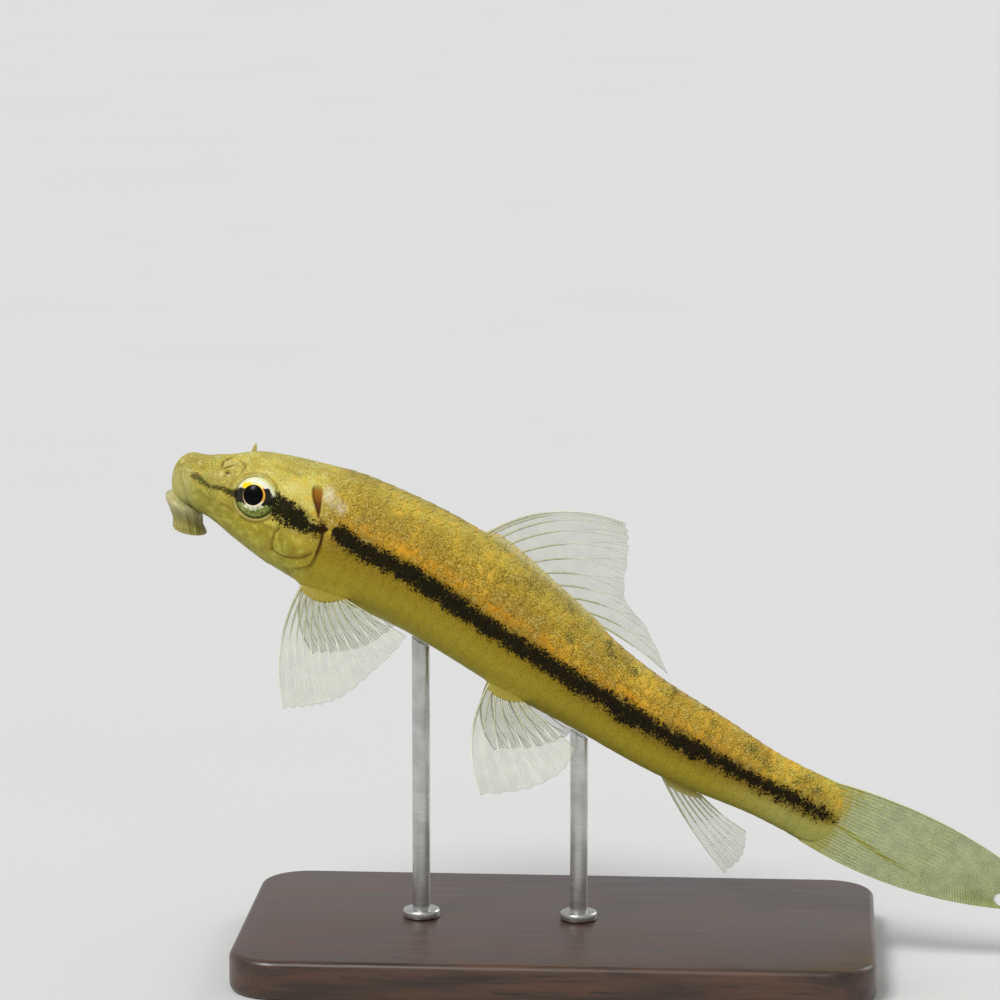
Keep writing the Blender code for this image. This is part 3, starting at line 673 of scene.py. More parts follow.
def scale_coat():
    """Overlapping rounded plates over the body behind the head, as one mesh."""
    places = scale_places()
    n = SCALE_CELLS + 1
    p, q = np.meshgrid(np.linspace(0, 1, n), np.linspace(-1, 1, n), indexing="ij")
    p, q = p.ravel(), q.ravel()
    rim = [(0, j) for j in range(n)] + [(i, n - 1) for i in range(1, n)]
    rim += [(n - 1, j) for j in range(n - 2, -1, -1)] + [(i, 0) for i in range(n - 2, 0, -1)]
    rim = np.array([i * n + j for i, j in rim])
    root, turn, size, half = (column[:, None] for column in places.T)
    reach = p * (1 - 0.26 * q**2 * p)
    distance = root + SCALE_LENGTH * size * reach
    side = q * (1 - 0.22 * (1 - p) ** 2) * half * 1.12
    arc = surface(distance, turn + 0.5) - surface(distance, turn - 0.5)
    degree = np.linalg.norm(arc, axis=-1)
    turns = turn + side / np.maximum(degree, 0.012)
    lift = SCALE_LIFT * size * np.interp(np.abs(turn), *LIFT_SHARES)
    skin_height = relief(distance, turns)
    cover = 0.02 + UNDER_SCALES * smooth_step(distance, *SCALES_SET_IN)
    share = np.interp(np.abs(turn), *HEIGHT_SHARES)
    height = -0.01 + (cover + lift) * share * p**0.8 + 0.008 * (1 - q**2) * p
    top = over_body(distance, turns, skin_height + height)
    under = over_body(distance[:, rim], turns[:, rim], skin_height[:, rim] - 0.05)
    points = np.concatenate([top, under], axis=1)
    count = points.shape[1]
    quads = [
        (i * n + j, i * n + j + 1, (i + 1) * n + j + 1, (i + 1) * n + j)
        for i in range(n - 1)
        for j in range(n - 1)
    ]
    ring = list(range(n * n, count))
    walls = [
        (rim[k], ring[k], ring[(k + 1) % len(ring)], rim[(k + 1) % len(ring)])
        for k in range(len(ring))
    ]
    floor = tuple(ring)
    faces = []
    for i in range(len(places)):
        faces += [tuple(int(v) + i * count for v in face) for face in (*quads, *walls, floor)]
    all_distance = np.concatenate([distance, distance[:, rim]], axis=1).ravel()
    all_turn = np.concatenate([turns, turns[:, rim]], axis=1).ravel()
    marks = markings_and_painted_light(all_distance, (all_turn + 180) % 360 - 180)
    edge = np.concatenate([reach, np.ones(len(rim))])
    marks["free_edge"] = np.tile(edge**3, len(places))
    piece = mesh_of("scale_coat", points.reshape(-1, 3), faces, marks)
    piece.data.set_sharp_from_angle(angle=math.radians(SCALE_RIM_ANGLE))
    bake_map(piece, places, np.concatenate([p, p[rim]]), np.concatenate([q, q[rim]]), count)
    return piece


def bake_map(piece, places, p, q, count):
    """The map for painting the scales: each has its own small patch at its root on the unrolled skin."""
    corners = corner_points(piece)
    scale, point = corners // count, corners % count
    u = places[scale, 0] / BODY_LENGTH + BAKE_PATCH * (p[point] - 0.5)
    v = (places[scale, 1] + 180) / 360 * 0.98 + 0.01 + BAKE_PATCH * q[point] / 2
    layer = piece.data.uv_layers.new(name="OFBake")
    layer.data.foreach_set("uv", np.stack([u, v], -1).ravel().astype(np.float32))


def eyeball(name, side):
    """An eyeball with its cornea swelling over the pupil, and a map square to the way it looks."""
    piece = primitive(bpy.ops.mesh.primitive_uv_sphere_add, name, segments=72, ring_count=48, radius=1)
    axis = eye_axis(side)
    back = side * unit(np.cross((0, 0, 1), axis))
    upward = side * np.cross(axis, back)
    x, y, z = points_of(piece).T
    x, y = x * EYE_RADIUS, y * EYE_RADIUS
    swell = 0.08 * bell(np.hypot(x - PUPIL_OFFSET[0], y - PUPIL_OFFSET[1]) ** 2, 1.0)
    level = z * EYE_HALF_THICKNESS + np.where(z > 0, swell, 0)
    move_points(piece, eye_centre(side) + np.outer(x, back) + np.outer(y, upward) + np.outer(level, axis))
    places = 0.5 + np.stack([x, y], -1)[corner_points(piece)] / EYE_MAP_WIDTH
    piece.data.uv_layers.active.data.foreach_set("uv", places.ravel().astype(np.float32))
    face_outward(piece)
    return piece


def sucker_mouth():
    """The lips as a soft cup, wrinkled outside, fringed at the rim and ridged inside."""
    knots = [(i / (len(MOUTH_PROFILE) - 1), *pair) for i, pair in enumerate(MOUTH_PROFILE)]
    profile = curve_through(knots)
    rim_along = 0.64

    def place(across, along):
        share, half = np.moveaxis(profile(along), -1, 0)
        angle = 2 * math.pi * across
        slope = np.radians(MOUTH_ROOT_SLOPE + (MOUTH_RIM_SLOPE - MOUTH_ROOT_SLOPE) * share)
        outside = window(along, 0.2, 0.38, 0.56, 0.66)
        inside = window(along, 0.68, 0.76, 0.92, 1)
        folds = np.cos(13 * angle + 1.6 * np.sin(2 * angle)) + 0.5 * np.cos(29 * angle + 5 * along)
        half = half + 0.06 * outside * folds + 0.012 * outside * np.sin(70 * along)
        half = half + 0.035 * bell(along - rim_along, 0.05) * np.cos(58 * angle)
        share = share + 0.02 * inside * np.cos(44 * angle)
        x = MOUTH_ROOT[0] + (MOUTH_RIM[0] - MOUTH_ROOT[0]) * share
        z = MOUTH_ROOT[1] + (MOUTH_RIM[1] - MOUTH_ROOT[1]) * share
        back = half * np.cos(angle)
        side = half * MOUTH_WIDENING * np.sin(angle)
        return np.stack([x + np.cos(slope) * back, side, z - np.sin(slope) * back], -1)

    piece, shares = wrapped_grid("sucker_mouth", 192, 90, place)
    set_attributes(piece.data, {"inward": smooth_step(shares[:, 1], 0.63, 0.74), "down": shares[:, 1]})
    close_tube(piece)
    return piece


# Fins


def fin_on_middle(place_at, lengths, headings, bend, wave):
    """Point function of a fin on the back at turn 0 or under the belly at turn 180."""
    length_at, heading_at = curve_through(lengths), curve_through(headings)
    outside = 1 if place_at(0.0)[1] == 0 else -1

    def point(u, v):
        start = over_body(*place_at(u), GAP)
        heading = np.radians(heading_at(u))
        arch = 4 * bend(u) * v * (1 - v)
        x = v * np.cos(heading) - outside * arch * np.sin(heading)
        z = v * np.sin(heading) + outside * arch * np.cos(heading)
        sway = wave * np.clip(v, 0, 1) ** 2 * np.sin(5 * u + 1.5 * v)
        length = length_at(u)
        return start + np.stack([length * x, sway, length * z], -1)

    return point


def paired_fin(side, place_at, lengths, sweeps, outs, bend):
    """Point function of a fin low on one side, rooted at place_at, leaning back by sweeps, out by outs."""
    length_at, sweep_at, out_at = curve_through(lengths), curve_through(sweeps), curve_through(outs)

    def point(u, v):
        distance, turn = place_at(u)
        start = over_body(distance, side * turn, GAP)
        sweep, out = np.radians(sweep_at(u)), np.radians(out_at(u))
        level = -side * np.sin(out)
        ahead = np.stack([np.sin(sweep), level * np.cos(sweep), -np.cos(out) * np.cos(sweep)], -1)
        forward = np.stack([-np.cos(sweep), level * np.sin(sweep), -np.cos(out) * np.sin(sweep)], -1)
        arch = 4 * bend * (1 - u) * v * (1 - v)
        curl = np.clip(v, 0, 1) ** 2
        ripple = 0.12 * curl * np.sin(7 * u + 2 * v)
        lift = np.stack([0 * v, -side * (0.8 * curl + ripple), 0.3 * curl + ripple], -1)
        return start + length_at(u)[..., None] * (v[..., None] * ahead + arch[..., None] * forward) + lift

    return point


def tail_fin():
    """Point function of the tail fin, from its upper edge at u = 0 to its lower one."""
    length_at = curve_through(((0, 22.4), (0.5, 18.7), (1, 20.4)))
    heading_at = curve_through(((0, -28.5), (0.5, -26.0), (1, -17.5)))
    x, z, slope = spine_at(TAIL_ROOT + GAP)

    def point(u, v):
        height = TAIL_ROOT_HALF * (1 - 2 * u)
        heading = np.radians(heading_at(u))
        arch = 4 * 0.055 * (1 - 2 * u) * v * (1 - v)
        length = length_at(u)
        curl = np.clip(v, 0, 1)
        sway = 0.9 * curl**2 + 0.16 * curl * np.sin(6 * u + 3 * v)
        back = math.sin(slope) * height + length * (v * np.cos(heading) - arch * np.sin(heading))
        up = math.cos(slope) * height + length * (v * np.sin(heading) + arch * np.cos(heading))
        return np.stack([x + back, sway, z + up], -1)

    return point


def fin_face(point, u, v, step=1e-3):
    """A fin's points, with unit vectors square to it and across its rays."""
    middle = point(u, v)
    crosswise = unit(point(np.clip(u + step, 0, 1), v) - point(np.clip(u - step, 0, 1), v))
    return middle, unit(np.cross(crosswise, point(u, v + step) - middle)), crosswise


def fin_membrane(name, point, rays, columns_per_gap=6, rows=44, sink=0.06, thickness=0.055, billow=0.07):
    """The thin skin between a fin's rays, notched a little between their tips."""
    columns = columns_per_gap * (rays - 1)

    def place(across, along):
        between = np.sin(math.pi * across * (rays - 1)) ** 2
        end = 0.99 - 0.02 * between
        middle, normal, _ = fin_face(point, across, -sink + (end + sink) * along)
        return middle + (billow * between * smooth_step(along, 0.1, 0.6))[:, None] * normal

    piece, _ = wrapped_grid(name, columns, rows, place)
    apply_modifier(piece, "SOLIDIFY", thickness=thickness * MM, offset=0)
    bpy.ops.object.shade_smooth()
    return piece


def ray_strands(point, rays, sink, radius, splits, spread):
    """Centre lines and radii of a fin's rays, all but the first splitting twice towards their tips."""
    spacing = 1 / (rays - 1)
    first, second = splits
    strands = [(0.0, (), -sink, RAY_TIP + 0.01, 1.35 * radius)]
    for i in range(1, rays):
        base = i * spacing
        strands.append((base, (), -sink, first + 0.01, radius))
        for side in (-1, 1):
            one = ((side * spread, first),)
            strands.append((base, one, first - 0.02, second + 0.01, 0.74 * radius))
            for twig in (-1, 1):
                both = one + ((twig * spread * 0.45, second),)
                strands.append((base, both, second - 0.02, RAY_TIP, 0.56 * radius))
    lines = []
    for base, moves, start, end, thick in strands:
        near, far = (point(np.array([base]), np.array([v])) for v in (0.5, 0.6))
        length = 10 * float(np.linalg.norm(far - near)) * (end - start)
        steps = max(int(length / JOINT_LENGTH), 4)
        v = np.linspace(start, end, steps + 1)
        u = np.full(steps + 1, base)
        for amount, place in moves:
            u = u + spacing * amount * smooth_step(v, place, 1.0) * 1.4
        u = np.clip(u, 0, 1)
        taper = thick * (1 - 0.62 * np.clip(v, 0, 1))
        beads = 1 + 0.22 * smooth_step(v, 0.3, 0.45) * np.where(np.arange(steps + 1) % 2, 1, -1)
        lines.append((point(u, v), taper * beads, v, np.arange(steps + 1)))
    return lines


def leading_rays():
    """Short rays that crowd along the tail's upper and lower edge ahead of the tail fin."""
    lines = []
    for turn, count in ((0, 5), (180, 4)):
        outside = 1 if turn == 0 else -1
        for i in range(count):
            start = surface(71.6 + 0.8 * i, turn) - np.array([0, 0, 0.15 * outside])
            heading = math.radians(-26.5 + outside * (5 - 1.2 * i))
            length = 2.2 + 1.0 * i
            steps = int(length / JOINT_LENGTH)
            v = np.linspace(0, 1, steps + 1)
            reach = (length * v)[:, None] * np.array([math.cos(heading), 0, math.sin(heading)])
            bow = (0.10 * length * v * (1 - v))[:, None] * np.array([0, 0, outside])
            lines.append((start + reach + bow, 0.10 * (1 - 0.7 * v), v, np.arange(steps + 1)))
    return lines


def fin_rays(name, lines, sides=5):
    """Jointed rays as thin closed tubes in one mesh, along lines of points, radii, shares and steps."""
    points, faces, out_share, joint = [], [], [], []
    count = 0
    angles = 2 * math.pi * np.arange(sides) / sides
    for line, radii, v, steps in lines:
        tangent = unit(np.gradient(line, axis=0))
        first = unit(np.cross(tangent, (0.3, 0.9, 0.2)))
        second = np.cross(tangent, first)
        spokes = np.cos(angles)[:, None] * first[:, None] + np.sin(angles)[:, None] * second[:, None]
        rings = line[:, None] + radii[:, None, None] * spokes
        n = len(line)
        points.append(rings.reshape(-1, 3))
        points.append(line[[0, -1]])
        i, k = np.meshgrid(np.arange(n - 1), np.arange(sides), indexing="ij")
        after = (k + 1) % sides
        quads = np.stack(
            [i * sides + k, i * sides + after, (i + 1) * sides + after, (i + 1) * sides + k], -1
        )
        faces += (quads.reshape(-1, 4) + count).tolist()
        for ring, centre, turn_round in ((0, n * sides, True), (n - 1, n * sides + 1, False)):
            for k in range(sides):
                one, other = ring * sides + k, ring * sides + (k + 1) % sides
                face = (other, one, centre) if turn_round else (one, other, centre)
                faces.append([corner + count for corner in face])
        out_share.append(np.concatenate([np.repeat(v, sides), v[[0, -1]]]))
        joint.append(np.concatenate([np.repeat(steps % 2, sides), [0, 0]]))
        count += n * sides + 2
    # Every other joint is marked for a painted highlight
    marks = {"outward": np.concatenate(out_share), "bead_highlight": np.concatenate(joint)}
    return mesh_of(name, np.concatenate(points), faces, marks)


def fleshy_root(name, point, place_at, rays, low, high, thickness, paleness):
    """Skin drawn a little way out over a fin's root, further along the rays than between them."""

    def place(across, along):
        angle = 2 * math.pi * across
        u = 0.5 + 0.5 * np.cos(angle)
        scallops = 0.95 + 0.05 * np.cos(2 * math.pi * u * (rays - 1))
        margin = high * (0.35 + 0.65 * np.sin(math.pi * u)) * scallops
        middle, normal, crosswise = fin_face(point, u, low + (margin - low) * along)
        taper = 0.12 + 0.88 * np.sqrt(np.maximum(1 - along**1.5, 0))
        bulge = taper * thickness * np.sign(np.sin(angle)) * np.abs(np.sin(angle)) ** 0.6
        return middle + bulge[:, None] * normal + (0.16 * np.cos(angle))[:, None] * crosswise

    piece, shares = wrapped_grid(name, 12 * (rays - 1), 14, place)
    distance, turn = place_at(0.5 + 0.5 * np.cos(2 * math.pi * shares[:, 0]))
    marks = markings_and_painted_light(distance, turn + 0 * distance)
    marks["pale"] = np.maximum(marks["pale"], paleness * shares[:, 1])
    # Painted shade over the root, less towards its margin and on paler roots
    marks["crease_shade"] = np.maximum(marks["crease_shade"], 0.4 * (1 - paleness) * (1 - 0.4 * shares[:, 1]))
    set_attributes(piece.data, marks)
    close_tube(piece)
    return piece


# Materials


def srgb(red, green, blue):
    """A colour as a screen shows it, from 0 to 255, as the linear one that shaders take."""
    shares = (value / 255 for value in (red, green, blue))
    return (*(s / 12.92 if s <= 0.04045 else ((s + 0.055) / 1.055) ** 2.4 for s in shares), 1.0)


def feed(source, socket):
    """Joins a signal to a socket, or sets the socket to a plain value."""
    if isinstance(source, Signal):
        socket.id_data.links.new(source.socket, socket)
    else:
        socket.default_value = source


class Signal:
    """A node's output, which takes sums like a number."""

    def __init__(self, socket):
        self.socket = socket
        self.nodes = socket.id_data.nodes

    def math(self, operation, other=0.0):
        node = self.nodes.new("ShaderNodeMath")
        node.operation = operation
        feed(self, node.inputs[0])
        feed(other, node.inputs[1])
        return Signal(node.outputs[0])

    def __mul__(self, other):
        return self.math("MULTIPLY", other)

    def __add__(self, other):
        return self.math("ADD", other)

    def __sub__(self, other):
        return self.math("SUBTRACT", other)

    def ranged(self, low, high, to_low=0.0, to_high=1.0):
        """The value taken smoothly from one range to another and kept in it."""
        node = self.nodes.new("ShaderNodeMapRange")
        node.interpolation_type = "SMOOTHSTEP"
        feed(self, node.inputs["Value"])
        for key, number in (("From Min", low), ("From Max", high), ("To Min", to_low), ("To Max", to_high)):
            node.inputs[key].default_value = number
        return Signal(node.outputs["Result"])


def length(one, other):
    return (one * one + other * other).math("SQRT")


class Finish:
    """A material whose colour is painted on in layers. Sockets are named with underscores."""

    def __init__(self, name, **settings):
        self.material = bpy.data.materials.new(name)
        self.material.use_nodes = True
        self.nodes = self.material.node_tree.nodes
        self.colour = None
        self.give(**settings)
        self.place = self.add("ShaderNodeTexCoord", "Object")

    def give(self, **sources):
        """Feeds the shader's inputs and gives back the material."""
        for key, source in sources.items():
            feed(source, self.nodes["Principled BSDF"].inputs[key.replace("_", " ")])
        return self.material

    def add(self, kind, output, **sources):
        node = self.nodes.new(kind)
        for key, source in sources.items():
            feed(source, node.inputs[key])
        return Signal(node.outputs[output])

    def attribute(self, name):
        signal = self.add("ShaderNodeAttribute", "Fac")
        signal.socket.node.attribute_name = name
        return signal

    def own_map(self):
        """The two coordinates of the piece's own map."""
        u = self.add("ShaderNodeSeparateXYZ", "X", Vector=self.add("ShaderNodeUVMap", "UV"))
        return u, Signal(u.socket.node.outputs["Y"])

    def noise(self, size, detail=2.0, roughness=0.5, stretch=(1, 1, 1), seed=0.0):
        """Noise whose grains are about size millimetres across."""
        shift = (seed * 0.01, seed * 0.02, 0)
        vector = self.add("ShaderNodeMapping", "Vector", Vector=self.place, Scale=stretch, Location=shift)
        settings = {"Scale": 1000 / size, "Detail": detail, "Roughness": roughness}
        return self.add("ShaderNodeTexNoise", "Fac", Vector=vector, **settings)

    def cells(self, size):
        """Distance from the middles of cells about size millimetres across, as a share of it."""
        return self.add("ShaderNodeTexVoronoi", "Distance", Vector=self.place, Scale=1000 / size)

    def bump(self, height, depth, strength=1.0, **under):
        """Bump from a height that stands depth millimetres at 1, over another bump if one is given."""
        settings = {"Height": height, "Distance": depth * MM, "Strength": strength}
        return self.add("ShaderNodeBump", "Normal", **settings, **under)

    def ramp(self, value, *stops):
        """Colour through stops of a value, red, green and blue."""
        signal = self.add("ShaderNodeValToRGB", "Color", Fac=value)
        elements = signal.socket.node.color_ramp.elements
        while len(elements) < len(stops):
            elements.new(0.5)
        for element, (place, *colour) in zip(elements, stops):
            element.position = place
            element.color = srgb(*colour)
        return signal

    def mix(self, share, one, other):
        """Two colours mixed, each a signal or a screen colour."""
        node = self.nodes.new("ShaderNodeMix")
        node.data_type = "RGBA"
        for slot, source in ((0, share), (6, one), (7, other)):
            feed(srgb(*source) if isinstance(source, tuple) else source, node.inputs[slot])
        return Signal(node.outputs[2])

    def paint(self, share, colour):
        """A layer of colour over what is there."""
        self.colour = self.mix(share, self.colour, colour)


def fish_skin_finish():
    """Olive-gold skin with fine flecks, a ragged dark stripe, orange above it and a plainer belly."""
    m = Finish("fish_skin", Specular_IOR_Level=0.06, Coat_Weight=0.03, Coat_Roughness=0.3,
               Subsurface_Weight=0.05, Subsurface_Scale=0.0005, Subsurface_Radius=(1.0, 0.6, 0.25))
    around, along = m.attribute("around"), m.attribute("along") * BODY_LENGTH
    fine, grain = m.noise(0.11, 1, 0.5), m.noise(0.21, 2, 0.6, seed=3)
    patch, cloud = m.noise(0.9, 3, 0.6, seed=7), m.noise(3.6, 2, 0.5, seed=11)
    backness, behind_head = around.ranged(0.6, 0.4), along.ranged(12, 18, 0.7)
    # Tones from the back round to the belly, on the body and the head; below the back they are partly
    # painted shade, darker as under light from above
    body = m.ramp(around, (0.0, 144, 136, 66), (0.15, 182, 160, 58), (0.3, 158, 128, 30),
                  (0.42, 158, 122, 22), (0.54, 134, 110, 18), (0.66, 160, 142, 40), (0.85, 158, 148, 52),
                  (1.0, 172, 162, 76))
    head = m.ramp(around, (0.0, 172, 166, 88), (0.2, 196, 186, 84), (0.4, 200, 188, 92), (0.5, 166, 154, 60),
                  (0.58, 142, 132, 38), (0.67, 160, 152, 56), (0.8, 152, 148, 62), (1.0, 166, 160, 86))
    head = m.mix(along.ranged(9, 2.5, 0, 0.95), head, (150, 146, 64))
    m.colour = m.mix(along.ranged(13, 17.5), head, body)
    # The rear half more orange, browner above the stripe and paler under the tail's root
    m.paint(along.ranged(38, 62) * backness * patch.ranged(0.42, 0.6, 0.15, 0.75), (206, 152, 28))
    above_stripe = around.ranged(0.35, 0.42) * around.ranged(0.62, 0.54)
    m.paint(above_stripe * along.ranged(42, 58, 0, 0.45), (104, 82, 20))
    m.paint(backness * along.ranged(64, 73, 0, 0.6), (190, 172, 66))
    m.paint(around.ranged(0.5, 0.66) * along.ranged(61, 73) * 0.9, (168, 166, 88))
    # Gold on the gill cover's lower lobe, partly painted highlight
    m.paint(m.attribute("lobe_gold_and_highlight") * 0.6, (196, 172, 62))
    # The cheek clouded brown and yellow
    cheek = around.ranged(0.46, 0.52) * along.ranged(17, 15, 0, 0.5)
    clouded = (patch - 0.49).math("ABSOLUTE").ranged(0.03, 0.12)
    m.paint(cheek * clouded, m.mix(patch.ranged(0.42, 0.56), (138, 112, 36), (196, 186, 88)))
    # Greyer clouds, golden and dark flecks, strongest on the back
    m.paint(cloud.ranged(0.44, 0.6) * backness * 0.4, (128, 108, 50))
    m.paint(patch.ranged(0.5, 0.66) * (backness * 0.3 + 0.06) * behind_head, (112, 84, 28))
    m.paint(patch.ranged(0.46, 0.32) * along.ranged(20, 12, 0.12, 0.45) * backness, (222, 214, 150))
    golden = patch.ranged(0.48, 0.62) * cloud.ranged(0.56, 0.42, 0.25)
    m.paint(golden * backness * behind_head * 0.6, (226, 182, 60))
    light = (fine * 0.7 + grain * 0.3).ranged(0.5, 0.64)
    m.paint(light * (backness * 0.36 + 0.14), (242, 216, 116))
    dark = (grain * 0.4 + fine * 0.6).ranged(0.47, 0.37) * patch.ranged(0.6, 0.42, 0.35)
    m.paint(dark * (backness * 0.5 + 0.16) * behind_head, (78, 66, 22))
    # Orange above the stripe, and grey-green spots over the rear of the back
    m.paint(m.attribute("orange") * (grain + patch).ranged(0.84, 1.12) * 0.66, (220, 146, 10))
    rings = ((grain + fine) * 0.75 + m.cells(2.1)).ranged(1.12, 0.9)
    scattered = rings * around.ranged(0.42, 0.28) * along.ranged(32, 44, 0, 0.8)
    spots = m.attribute("spots") * grain.ranged(0.64, 0.42) * 0.7
    m.paint(scattered.math("MAXIMUM", spots), (78, 76, 34))
    # Rims of the scales, a painted silvery sheen behind the gill opening, lips, pale skin with a painted
    # highlight behind the eye, and painted shade in the creases
    m.paint(m.attribute("free_edge") * patch.ranged(0.4, 0.6) * backness * 0.2, (70, 58, 18))
    m.paint(m.attribute("sheen") * patch.ranged(0.36, 0.58, 0.15, 0.75), (222, 214, 186))
    m.paint(m.attribute("lip") * 0.5, (176, 174, 112))
    m.paint(m.attribute("pale") * grain.ranged(0.3, 0.6, 0.45) * 0.75, (214, 204, 150))
    # Painted shade in the creases and grooves
    m.paint(m.attribute("crease_shade") * 0.8, (78, 54, 18))
    # The stripe, its edge broken up by the same grains, and the gill opening
    inside = m.attribute("stripe") + (grain * 1.7 + fine * 1.5 + patch * 1.4 - 2.3)
    stripe = inside.ranged(-0.08, 0.1) * along.ranged(3, 9, 0.74, 0.98)
    m.paint(stripe, m.mix(fine.ranged(0.52, 0.7), (6, 6, 2), (40, 36, 12)))
    m.paint(m.attribute("gill_red") * 0.94, m.mix(m.attribute("gill_depth"), (156, 98, 26), (70, 20, 8)))
    return m.give(Base_Color=m.colour, Roughness=grain.ranged(0.3, 0.7, 0.38, 0.54),
                  Normal=m.bump(grain, 0.03, 0.7, Normal=m.bump(fine, 0.016, 0.6)))


def lip_finish():
    """Soft olive lips, pale at the rim and pinkish inside."""
    m = Finish("lip_skin", Specular_IOR_Level=0.3, Coat_Weight=0.15, Coat_Roughness=0.2,
               Subsurface_Weight=0.15, Subsurface_Scale=0.0005)
    grain, down = m.noise(0.18, 3, 0.6), m.attribute("down")
    m.colour = m.mix(m.noise(1.1, 2).ranged(0.35, 0.65), (132, 126, 62), (156, 146, 74))
    m.paint(down.ranged(0.4, 0.22) * 0.7, (198, 192, 142))
    m.paint(down.ranged(0.52, 0.62) * down.ranged(0.74, 0.66) * 0.6, (196, 182, 132))
    m.paint(m.attribute("inward") * 0.75, (190, 148, 118))
    m.paint(grain.ranged(0.58, 0.38, 0, 0.35), (112, 104, 48))
    return m.give(Base_Color=m.colour, Roughness=grain.ranged(0.3, 0.7, 0.36, 0.5),
                  Normal=m.bump(grain, 0.03, 0.7))


def eye_finish():
    """A black pupil in a gold ring, the iris pale above, dark at both sides and silver-green below."""
    m = Finish("fish_eye", Roughness=0.3, Specular_IOR_Level=0.05, Coat_Weight=0.13, Coat_Roughness=0.04,
               Coat_IOR=1.33)
    x, y = (share * EYE_MAP_WIDTH - EYE_MAP_WIDTH / 2 for share in m.own_map())
    fine, rough = m.noise(0.1, 3, 0.6), m.noise(0.3, 3, 0.6, seed=2)
    stray = rough * 0.9 - 0.45
    px, py = x - PUPIL_OFFSET[0], y - PUPIL_OFFSET[1]
    radius, whole, height = length(px, py), length(x, y), py + stray
    # Pale iris with a yellow patch ahead of the pupil
    m.colour = m.mix(fine.ranged(0.4, 0.62), (218, 214, 204), (250, 248, 242))
    m.paint((radius + stray).ranged(1.5, 1.2, 0, 0.6), (250, 232, 120))
    m.paint((length(px * 0.72 + 0.46, py * 1.25 - 1.14) + stray).ranged(0.66, 0.3), (248, 212, 22))
    # Silver-green below, and the dark band through the pupil
    silver = m.mix(fine.ranged(0.42, 0.6), (96, 108, 44), (176, 184, 100))
    silver = m.mix((radius + stray).ranged(1.56, 1.44, 0, 0.8), silver, (226, 232, 196))
    m.paint(height.ranged(-0.5, -0.7), silver)
    m.paint((height + px * 0.1).ranged(-1.02, -0.86) * height.ranged(0.74, 0.62) * 0.98, (12, 12, 6))
    # A painted highlight crescent at the rear, a duller brow, dark blotches and a dark rim below
    crescent_highlight = (stray * 0.5 + whole).ranged(1.7, 1.82)
    m.paint(y.ranged(0.0, 0.4) * x.ranged(0.3, 0.8) * crescent_highlight, (236, 238, 200))
    m.paint(whole.ranged(1.72, 1.95) * y.ranged(0.6, 1.2) * 0.6, (206, 208, 130))
    m.paint(rough.ranged(0.52, 0.58) * height.ranged(-0.7, -0.95) * 0.55, (44, 50, 26))
    m.paint(whole.ranged(1.78, 1.96) * y.ranged(0.2, -0.4) * 0.8, (58, 58, 26))
    # The pupil in its ring
    ring = m.mix(py.ranged(-0.45, -0.8), (234, 166, 56), (248, 230, 200))
    ring = m.mix(px.ranged(-0.4, -0.8, 0, 0.8), ring, (222, 200, 148))
    ring = m.mix(py.ranged(0.45, 0.8, 0, 0.8), ring, (248, 216, 96))
    m.paint(length(px - 0.08, py + 0.07).ranged(1.16, 1.12), ring)
    m.paint(radius.ranged(1.05, 1.01), (3, 2, 2))
    return m.give(Base_Color=m.colour)


def membrane_finish(name, colour, alpha, streak=False):
    """Clear skin between the rays, faintly clouded. With streak, golden at its root and yellow inside."""
    m = Finish(name, Roughness=0.3, Alpha=alpha, Specular_IOR_Level=0.25)
    cloud, fine = m.noise(1.4, 3), m.noise(0.2, 2, seed=4)
    m.colour = m.mix(cloud.ranged(0.35, 0.65), colour, tuple(c + 26 for c in colour))
    if streak:
        u, v = m.own_map()
        root = (v + fine * 0.18 + cloud * 0.14 - 0.2).ranged(0.12, 0.04)
        m.paint(root, m.mix(u.ranged(0.3, 0.6), (196, 160, 56), (160, 158, 80)))
        off_middle = (u - v * 0.36 - 0.51).math("ABSOLUTE") + fine * 0.06
        near = off_middle.ranged(0.085, 0.03) * v.ranged(0.62, 0.4) * v.ranged(0.04, 0.12)
        m.paint(near * 0.9, (138, 134, 14))
        m.give(Alpha=root.math("MAXIMUM", near * 0.7) * (0.95 - alpha) + alpha)
    return m.give(Base_Color=m.colour, Normal=m.bump(fine, 0.01, 0.4))


def ray_finish(name, colour, bead_highlight_colour, bead_start, root_colour):
    """Pale jointed rays, with painted highlights as brighter beads on every other joint towards their tips.
    """
    m = Finish(name, Roughness=0.35, Specular_IOR_Level=0.3, Coat_Weight=0.15, Coat_Roughness=0.1)
    reach = m.attribute("outward")
    m.colour = m.mix(m.noise(0.3, 2).ranged(0.35, 0.65), colour, tuple(c - 22 for c in colour))
    m.paint(reach.ranged(0.16, 0.0, 0, 0.9), root_colour)
    # Painted highlights on every other joint, towards the tips
    m.paint(m.attribute("bead_highlight") * reach.ranged(bead_start, bead_start + 0.25), bead_highlight_colour)
    return m.give(Base_Color=m.colour)


def wood_finish():
    """Dark stained wood with its grain along the base."""
    m = Finish("stained_wood", Coat_Weight=0.25, Coat_Roughness=0.25)
    grain = m.noise(1.3, 6, 0.65, stretch=(0.09, 1, 1))
    pores = m.noise(0.28, 2, 0.6, stretch=(0.06, 1, 1), seed=5)
    figure = m.noise(9, 3, 0.5, stretch=(0.14, 1, 1), seed=9)
    m.colour = m.mix(grain.ranged(0.32, 0.68), (40, 25, 17), (80, 52, 34))
    m.paint(figure.ranged(0.4, 0.62, 0, 0.45), (56, 34, 22))
    m.paint(pores.ranged(0.6, 0.68, 0, 0.7), (18, 11, 8))
    return m.give(Base_Color=m.colour, Roughness=grain.ranged(0.3, 0.7, 0.34, 0.5),
                  Normal=m.bump(pores, -0.03, 0.6, Normal=m.bump(grain, 0.02, 0.5)))


